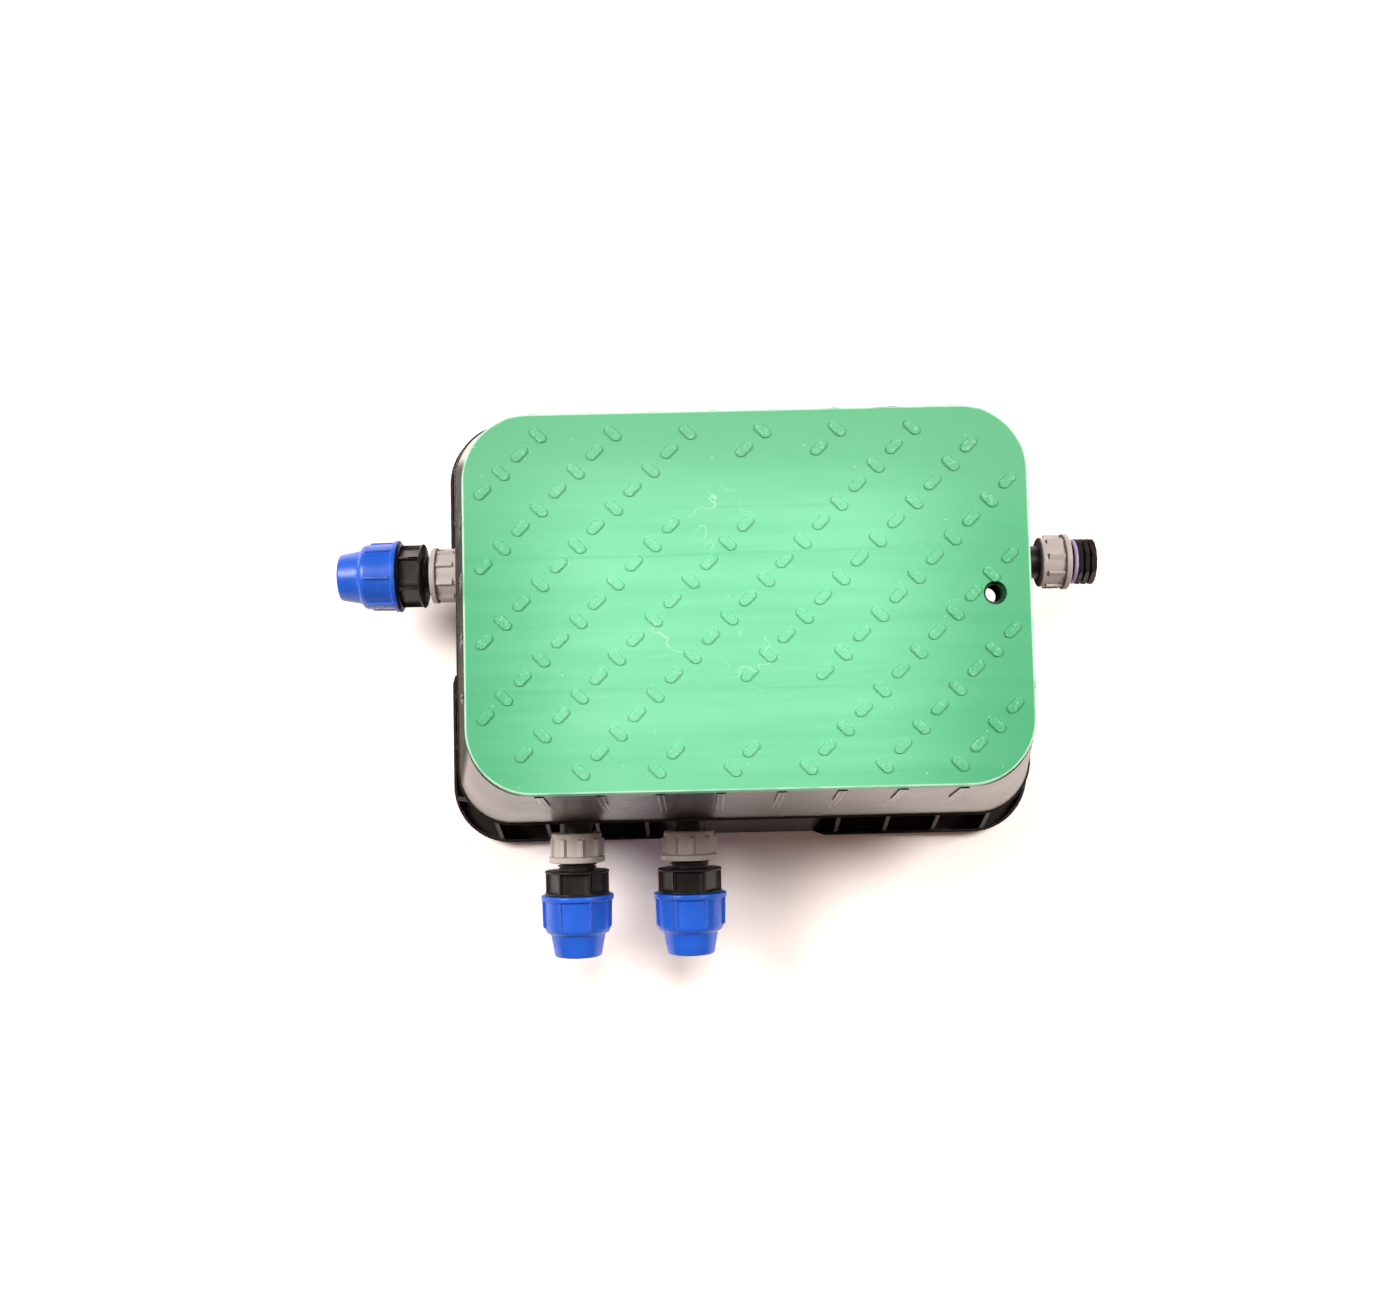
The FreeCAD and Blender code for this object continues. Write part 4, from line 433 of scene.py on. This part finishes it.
def box_black():
    """The box: satin foot, glossy upper wall, dull ends and pale pairs of lines at the ribs."""
    made = Shader("box_black")
    place = made.parts(made.place)
    facing = made.parts(made.normal())
    tone = made.between(made.noise(7.0, 4.0), 0.3, 0.75)
    body = made.mixed(tone, linear(BOX_BLACK_DEEP), linear(BOX_BLACK))
    dust = made.between(made.noise(46.0, 6.0, None, 0.65), 0.55, 0.78, 0.0, 0.02)
    body = made.mixed(dust, body, linear(EDGE_GREY))
    upper = made.between(place["Z"], *UPPER_WALL)
    endwise = made.between(made.math("ABSOLUTE", facing["X"]), *ENDWISE)

    flat_x = made.between(made.math("ABSOLUTE", place["X"]), *RIBBED_X)
    flat_y = made.between(made.math("ABSOLUTE", place["Y"]), *RIBBED_Y)
    rib = made.mixed(endwise, made.product(made.rib_lines(place["X"]), flat_x),
                     made.product(made.rib_lines(place["Y"]), flat_y))
    patchy = made.between(made.noise(90.0, 2.0), 0.35, 0.55, 0.35, 1.0)
    outward = made.math("ADD", made.product(place["X"], facing["X"]),
                        made.product(place["Y"], facing["Y"]))
    # Pale pairs of lines at the ribs, on the outer faces of the wall's upper part
    rib_pale = made.product(rib, patchy, made.between(place["Z"], *RIB_LINE_HEIGHT),
                          made.between(outward, *OUTWARD))
    body = made.mixed(rib_pale, body, linear(RIB_LINE_PALE))

    marks = made.scratches(22.0, 0.003, 0.34)
    # Pale edges low on the box, on its gussets and flange: partly wear, partly painted highlight
    worn_and_highlit = made.product(made.edges(WORN_AND_HIGHLIT_BOX_EDGE), made.between(made.noise(110.0), 0.3, 0.65),
                        made.between(place["Z"], *GUSSETS))
    pale = made.highest(worn_and_highlit, made.product(marks, BOX_MARKS_PALE))
    body = made.mixed(pale, body, linear(EDGE_GREY))

    rough = made.between(made.noise(14.0, 2.0), 0.25, 0.75, *BOX_ROUGH)
    rough = made.math("SUBTRACT", rough, made.product(upper, UPPER_GLOSS))
    rough = made.math("ADD", rough, made.product(endwise, ENDWISE_DULL), clamp=True)
    skin = made.bump(made.noise(620.0, 2.0), 0.01 * MM, 0.04, made.rounded(WIDE_EDGE))
    made.surface.inputs["Specular Tint"].default_value = SPECULAR_TINT
    level = made.math("SUBTRACT", made.between(upper, 0.0, 1.0, *BOX_SPECULAR),
                      made.product(endwise, ENDWISE_SPECULAR), clamp=True)
    return made.finish(body, rough, skin, level)


def lid_outline(made, x, y):
    """Distance inwards from the lid's rounded outline, negative outside it."""
    corner_x = made.math("SUBTRACT", made.math("ABSOLUTE", x), LID_HALF[0] - LID_CORNER)
    corner_y = made.math("SUBTRACT", made.math("ABSOLUTE", y), LID_HALF[1] - LID_CORNER)
    past_x = made.math("POWER", made.math("MAXIMUM", corner_x, 0.0), 2.0)
    past_y = made.math("POWER", made.math("MAXIMUM", corner_y, 0.0), 2.0)
    past = made.math("SQRT", made.math("ADD", past_x, past_y))
    inner = made.math("MINIMUM", made.math("MAXIMUM", corner_x, corner_y), 0.0)
    return made.math("SUBTRACT", LID_CORNER, made.math("ADD", past, inner))


def away_from(made, x, y, place):
    """Distance from one point, seen from above."""
    off_x = made.math("POWER", made.math("SUBTRACT", x, place[0]), 2.0)
    off_y = made.math("POWER", made.math("SUBTRACT", y, place[1]), 2.0)
    return made.math("SQRT", made.math("ADD", off_x, off_y))


def lid_green(name, edge_radius=None):
    """The lid: flow lines along X, scuffs, scratches, painted shade and a painted highlight on its
    outline.
    """
    made = Shader(name)
    place = made.parts(made.place)
    streak = made.noise(1.0, 5.0, (3.0, 42.0, 30.0), 0.6)
    body = made.mixed(made.between(streak, 0.35, 0.62), linear(LID_GREEN), linear(LID_GREEN_MID))
    patch = made.between(made.noise(6.0, 4.0), 0.45, 0.75, 0.0, 0.22)
    body = made.mixed(patch, body, linear(LID_GREEN_PALE))
    flow = made.between(made.noise(1.0, 3.0, (1.6, 95.0, 20.0)), 0.60, 0.70, 0.0, 0.22)
    body = made.mixed(flow, body, linear(LID_GREEN_FLOW_AND_SHADE))
    # Painted shade: darker towards the lid's left and right sides, over its top and a little at
    # its bottom
    off_middle = made.math("ABSOLUTE", made.math("SUBTRACT", place["X"], LID_MIDDLE))
    body = made.mixed(made.between(off_middle, *LID_SHADED_SIDES), body, linear(LID_GREEN_FLOW_AND_SHADE))
    for colour, zone in LID_SHADE_ZONES:
        body = made.mixed(made.between(place["Y"], *zone), body, linear(colour))

    scuff = made.product(made.between(place["Z"], *LID_SCUFFED),
                         made.between(made.noise(420.0, 3.0), 0.50, 0.66))
    body = made.mixed(made.product(scuff, SCUFF_PALE), body, linear(LID_GREEN_PALE))
    worked = made.highest(*[
        made.between(away_from(made, place["X"], place["Y"], spot), *SCRATCHED_RADIUS)
        for spot in SCRATCHED])
    marks = made.product(made.scratches(38.0, 0.012, 0.55), worked, SCRATCH_PALE)
    faint = made.product(made.scratches(17.0, 0.0028, 0.30), FAINT_PALE)
    nicks = made.between(made.noise(260.0, 1.0), 0.79, 0.82, 0.0, 0.7)
    # Painted highlight: a pale line along the lid's outline just under its top, broken by noise
    outline = lid_outline(made, place["X"], place["Y"])
    rim_highlight = made.product(made.between(outline, *LID_RIM_HIGHLIGHT),
                       made.between(made.noise(34.0, 4.0), 0.30, 0.52, 0.25, 0.85),
                       made.between(place["Z"], *LID_RIM_HIGHLIGHT_HEIGHT))
    body = made.mixed(made.highest(marks, nicks, faint, rim_highlight), body, linear(LID_SCRATCH_AND_HIGHLIGHT))
    # Painted shade: the inside of the bolt hole, below the lid's top, darkened to a deep green
    bore_shade = made.between(away_from(made, place["X"], place["Y"], BOLT_HOLE), *BOLT_HOLE_RIM)
    sunk = made.between(place["Z"], *BOLT_HOLE_SUNK)
    body = made.mixed(made.product(bore_shade, sunk), body, linear(LID_BORE_SHADE))

    rough = made.between(streak, 0.3, 0.7, *LID_ROUGH)
    rough = made.math("ADD", rough, made.product(scuff, SCUFF_DULL), clamp=True)
    smooth = None
    if edge_radius:
        near_edge = made.between(outline, *LID_NEAR_EDGE)
        smooth = made.mixed(near_edge, made.normal(), made.rounded(edge_radius))
    skin = made.bump(made.noise(1400.0, 2.0), 0.04 * MM, 0.3, smooth)
    skin = made.bump(streak, 0.1 * MM, 0.15, skin)
    return made.finish(body, rough, skin)


def rubber(name, colour, pale):
    """Rubber: dull, slightly uneven, with a fine grain."""
    made = Shader(name)
    body = made.mixed(made.between(made.noise(60.0, 4.0), 0.35, 0.7), linear(colour), linear(pale))
    rough = made.between(made.noise(200.0), 0.3, 0.7, 0.52, 0.7)
    return made.finish(body, rough, made.bump(made.noise(1500.0), 0.05 * MM, 0.35))


def steel():
    """Brushed steel of the small screws and springs."""
    made = Shader("steel")
    made.surface.inputs["Metallic"].default_value = 1.0
    brushed = made.noise(1.0, 3.0, (900.0, 900.0, 60.0))
    body = made.mixed(made.between(made.noise(80.0), 0.3, 0.7), linear(STEEL), linear(STEEL_DARK))
    rough = made.between(brushed, 0.3, 0.7, 0.24, 0.42)
    return made.finish(body, rough, made.bump(brushed, 0.03 * MM, 0.3))


def floor_paper():
    """White paper, over-bright where it is seen itself so that only shadows show, and painted
    light under the bolt hole.
    """
    made = Shader("studio_floor")
    rays = made.add("ShaderNodeLightPath").outputs
    seen = made.highest(rays["Is Camera Ray"], rays["Is Glossy Ray"], rays["Is Transmission Ray"])
    colour = made.mixed(seen, FLOOR_COLOUR, FLOOR_SEEN)
    paper = made.add("ShaderNodeBsdfDiffuse", Color=colour)
    # Painted light: a glowing patch under the bolt hole, seen by the camera and in reflections
    apart = made.across("DISTANCE", made.place, FLOOR_UNDER_BOLT_HOLE)
    patch = made.between(apart, *FLOOR_GLOW_SPOT)
    far = made.between(apart, *FLOOR_FAR)
    glare = made.math("ADD", made.product(patch, seen), made.product(far, rays["Is Camera Ray"]))
    glow = made.add("ShaderNodeEmission", Color=FLOOR_GLOW, Strength=glare)
    both = made.tree.nodes.new("ShaderNodeAddShader")
    made.give(both.inputs[0], paper.outputs[0])
    made.give(both.inputs[1], glow.outputs[0])
    made.tree.links.new(both.outputs[0], made.tree.nodes["Material Output"].inputs["Surface"])
    made.tree.nodes.remove(made.surface)
    return made.material


MATERIALS = {
    "lid_green": lid_green("lid_green", WIDE_EDGE),
    "box_black": box_black(),
    "steel": steel(),
    **{name: moulded(name, *look, **more) for name, (*look, more) in PLASTICS.items()},
    **{name: rubber(name, *colours) for name, colours in RUBBERS.items()},
}


def soften(shown, sharp_deg):
    """Round a small piece's sharp edges by modifiers, and leave its own mesh as it is."""
    weld = shown.modifiers.new("weld", "WELD")
    weld.merge_threshold = WELD_GAP
    rounded = shown.modifiers.new("rounded", "BEVEL")
    rounded.width = FINE_EDGE
    rounded.segments = FINE_EDGE_STEPS
    rounded.limit_method = "ANGLE"
    rounded.angle_limit = math.radians(sharp_deg)
    rounded.harden_normals = True
    rounded.use_clamp_overlap = False
    rounded.miter_outer = "MITER_ARC"


def dress_nodes():
    """Give every CAD node the finish of its slot in the record, and round small pieces' edges."""
    for entry in frame["record"]["subparts"]:
        shown = frame["nodes"][entry["node"]]
        shown.data.materials.clear()
        shown.data.materials.append(MATERIALS[entry["material_slot"]])
        if entry["material_slot"] in SOFT_EDGED:
            soften(shown, PACKED_SHARP_DEG)


def shown_piece(name, mesh, slot, body, node=None):
    """Make an object from a mesh, give it its finish and body, and let it stand for a node."""
    bmesh.ops.recalc_face_normals(mesh, faces=mesh.faces)
    data = bpy.data.meshes.new(name)
    mesh.to_mesh(data)
    mesh.free()
    data.materials.append(MATERIALS[slot])
    piece = bpy.data.objects.new(name, data)
    bpy.context.scene.collection.objects.link(piece)
    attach(piece, body)
    if node:
        data.shade_smooth()
        data.set_sharp_from_angle(angle=math.radians(TURNED_SHARP_DEG))
        soften(piece, TURNED_SHARP_DEG)
        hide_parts(node)
    return piece


def risen(profile, base, rise):
    """The radius at each angle of a profile."""
    shares = dict(profile)
    return lambda angle: base + rise * shares[angle]


def hexagon(angle):
    """The radius of a six-sided body with a narrow web on each corner."""
    if abs(angle) <= WEB_HALF_DEG:
        return WEB
    return PANEL / math.cos(math.radians(angle - 180 / HEX_SIDES))


def turned(name, mouth, along, sectors, angles, rings, turn_deg, slot, body, node):
    """A closed form round an axis: rings of one radius, or of one that varies in each sector."""
    up = Vector((0, 0, 1))
    side = up.cross(along)
    mesh = bmesh.new()
    rows = []
    for place, radius in rings:
        row = []
        for sector in range(sectors):
            for angle in angles:
                size = radius(angle) if callable(radius) else radius
                turn = math.radians(360 * sector / sectors + angle + turn_deg)
                out = up * math.cos(turn) + side * math.sin(turn)
                row.append(mesh.verts.new(mouth + (along * place + out * size) * MM))
        rows.append(row)
    for low, high in zip(rows, rows[1:] + rows[:1]):
        for i in range(len(low)):
            j = (i + 1) % len(low)
            mesh.faces.new((low[i], low[j], high[j], high[i]))
    return shown_piece(name, mesh, slot, body, node)


def screw_thread(name, start, along, length, root, rise, body):
    """Ridges of a male thread round the part of an axis that shows, running out at both ends."""
    across = along.orthogonal().normalized()
    upright = along.cross(across)
    turns = length / THREAD_PITCH
    count = int(turns * THREAD_STEPS)
    mesh = bmesh.new()
    rows = []
    for step in range(count + 1):
        share = step / count
        angle = 2 * math.pi * turns * share
        from_end = min(share, 1 - share) * turns
        height = rise * min(1.0, from_end * THREAD_RISES_PER_TURN)
        radial = across * math.cos(angle) + upright * math.sin(angle)
        middle = start + along * (length * share)
        rows.append([mesh.verts.new(middle + along * (THREAD_PITCH * shift)
                                    + radial * (root + height * up))
                     for shift, up in THREAD_SECTION])
    for low, high in zip(rows, rows[1:]):
        for i in range(len(THREAD_SECTION) - 1):
            mesh.faces.new((low[i], low[i + 1], high[i + 1], high[i]))
        mesh.faces.new((low[-1], low[0], high[0], high[-1]))
    mesh.faces.new(rows[0][::-1])
    mesh.faces.new(rows[-1])
    return shown_piece(name, mesh, "fitting_black", body)


def fittings():
    """The grey grip nuts, blue ribbed nuts, black union bodies and the threads that show."""
    margin = 0.5 * THREAD_PITCH
    grips = [angle for angle, share in GRIPS]
    ribs = [angle for angle, share in RIBS]
    for name, way, grip_turn, rib_turn in FITTINGS:
        along = Vector(way)
        node = f"swivel_nut_{name}"
        low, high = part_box(node)
        mouth = (low + high) / 2 + along * (abs((high - low).dot(along)) / 2)
        ribbed = [(place, risen(GRIPS, BARREL, rise)) for place, rise in GREY_RIBBED]
        turned(f"grip_nut_{name}", mouth, along, GRIP_COUNT, grips,
               [*GREY_START, *ribbed, *GREY_END], grip_turn, "nut_grey", node, node)
        if rib_turn is None:
            screw_thread(f"thread_{name}", mouth + along * margin, along,
                         PLUG_THREAD_SHOWING - 2 * margin, PLUG_THREAD_ROOT, PLUG_THREAD_RISE,
                         "end_plug")
            continue
        screw_thread(f"thread_{name}", mouth + along * margin, along,
                     THREAD_SHOWING - 2 * margin, THREAD_ROOT, THREAD_RISE, "root")
        sided = [(place, hexagon) for place in UNION_HEX]
        turned(f"union_body_{name}", mouth, along, HEX_SIDES, HEX_ANGLES,
               [*UNION_START, *sided, *UNION_END], UNION_TURN, "fitting_black", "root",
               f"adapter_{name}")
        ribbed = [(place, risen(RIBS, size, RIB_RISE * share))
                  for place, size, share in BLUE_RIBBED]
        node = f"compression_nut_{name}"
        turned(f"ribbed_nut_{name}", mouth + along * NUT_OFFSET * MM, along, RIB_COUNT, ribs,
               [*BLUE_START, *ribbed, *BLUE_END], rib_turn, "nut_blue", node, node)


def stud_places():
    """The middle of each stud on the lid, and whether it leans along the rising diagonal."""
    mesh = bmesh.new()
    mesh.from_mesh(frame["nodes"]["lid"].data)
    bmesh.ops.remove_doubles(mesh, verts=mesh.verts, dist=WELD_GAP)
    left = {face for face in mesh.faces
            if all(vertex.co.z > LID_TOP - LEVEL_GAP for vertex in face.verts)}
    places = []
    for start in mesh.faces:
        if start not in left:
            continue
        left.discard(start)
        island = [start]
        # The island grows while it is walked
        for face in island:
            near = {other for edge in face.edges for other in edge.link_faces if other in left}
            left -= near
            island.extend(sorted(near, key=lambda other: other.index))
        points = [vertex.co for face in island for vertex in face.verts]
        x = (min(point.x for point in points) + max(point.x for point in points)) / 2
        y = (min(point.y for point in points) + max(point.y for point in points)) / 2
        rising = sum((point.x - x) * (point.y - y) for point in points) > 0
        places.append((x, y, rising))
    mesh.free()
    return places


def stud_caps():
    """Softly rounded tops over the lid's studs, each a stadium that narrows upwards."""
    mesh = bmesh.new()
    half = (STUD_LENGTH - STUD_WIDTH) / 2
    for x, y, rising in stud_places():
        along = Vector((1, 1, 0) if rising else (1, -1, 0)).normalized()
        across = Vector((-along.y, along.x, 0))
        rows = []
        for inset, height in STUD_SECTION:
            radius = STUD_WIDTH / 2 - inset
            row = []
            for step in range(STUD_STEPS):
                turn = 2 * math.pi * (step + 0.5) / STUD_STEPS
                end = half if math.cos(turn) > 0 else -half
                out = along * (end + radius * math.cos(turn)) + across * radius * math.sin(turn)
                place = Vector((x, y, LID_TOP - STUD_RELIEF)) + (out + Vector((0, 0, height))) * MM
                row.append(mesh.verts.new(place))
            rows.append(row)
        for low, high in zip(rows, rows[1:]):
            for i in range(STUD_STEPS):
                j = (i + 1) % STUD_STEPS
                mesh.faces.new((low[i], low[j], high[j], high[i]))
        mesh.faces.new(rows[0][::-1])
        mesh.faces.new(rows[-1])
    caps = shown_piece("lid_stud_caps", mesh, "lid_green", "lid")
    caps.data.materials[0] = lid_green("lid_green_studs")
    caps.data.shade_smooth()


def studio():
    """Pale floor, warm fill, a soft lamp on either side and a weak one over the object."""
    mesh = bpy.data.meshes.new("floor")
    corners = ((-1, -1), (1, -1), (1, 1), (-1, 1))
    mesh.from_pydata([(x * FLOOR_HALF, y * FLOOR_HALF, 0) for x, y in corners],
                     [], [(0, 1, 2, 3)])
    mesh.materials.append(floor_paper())
    floor = bpy.data.objects.new("floor", mesh)
    bpy.context.scene.collection.objects.link(floor)

    world = bpy.data.worlds.new("studio")
    world.use_nodes = True
    nodes = world.node_tree.nodes
    links = world.node_tree.links
    fill = nodes["Background"]
    fill.inputs["Color"].default_value = AMBIENT_COLOUR
    fill.inputs["Strength"].default_value = AMBIENT_LEVEL
    plain = nodes.new("ShaderNodeBackground")
    plain.inputs["Color"].default_value = BACKGROUND
    rays = nodes.new("ShaderNodeLightPath")
    either = nodes.new("ShaderNodeMixShader")
    links.new(rays.outputs["Is Camera Ray"], either.inputs[0])
    links.new(fill.outputs[0], either.inputs[1])
    links.new(plain.outputs[0], either.inputs[2])
    links.new(either.outputs[0], nodes["World Output"].inputs["Surface"])
    bpy.context.scene.world = world

    for name, place, size, power in LAMPS:
        data = bpy.data.lights.new(name, "AREA")
        data.shape = "DISK"
        data.size = size
        data.energy = power
        data.color = LAMP_COLOUR
        lamp = bpy.data.objects.new(name, data)
        lamp.location = place
        lamp.rotation_euler = (-Vector(place)).to_track_quat("-Z", "Y").to_euler()
        bpy.context.scene.collection.objects.link(lamp)


def camera():
    """The photograph's camera."""
    data = bpy.data.cameras.new("camera")
    data.sensor_fit = "HORIZONTAL"
    data.sensor_width = CAMERA_SENSOR_MM
    data.lens = CAMERA_LENS_MM
    seen = bpy.data.objects.new("camera", data)
    seen.location = CAMERA_PLACE
    seen.rotation_euler = [math.radians(angle) for angle in CAMERA_TURN_DEG]
    bpy.context.scene.collection.objects.link(seen)
    bpy.context.scene.camera = seen
    bpy.context.scene.view_settings.view_transform = "Standard"


dress_nodes()
fittings()
stud_caps()
studio()
camera()
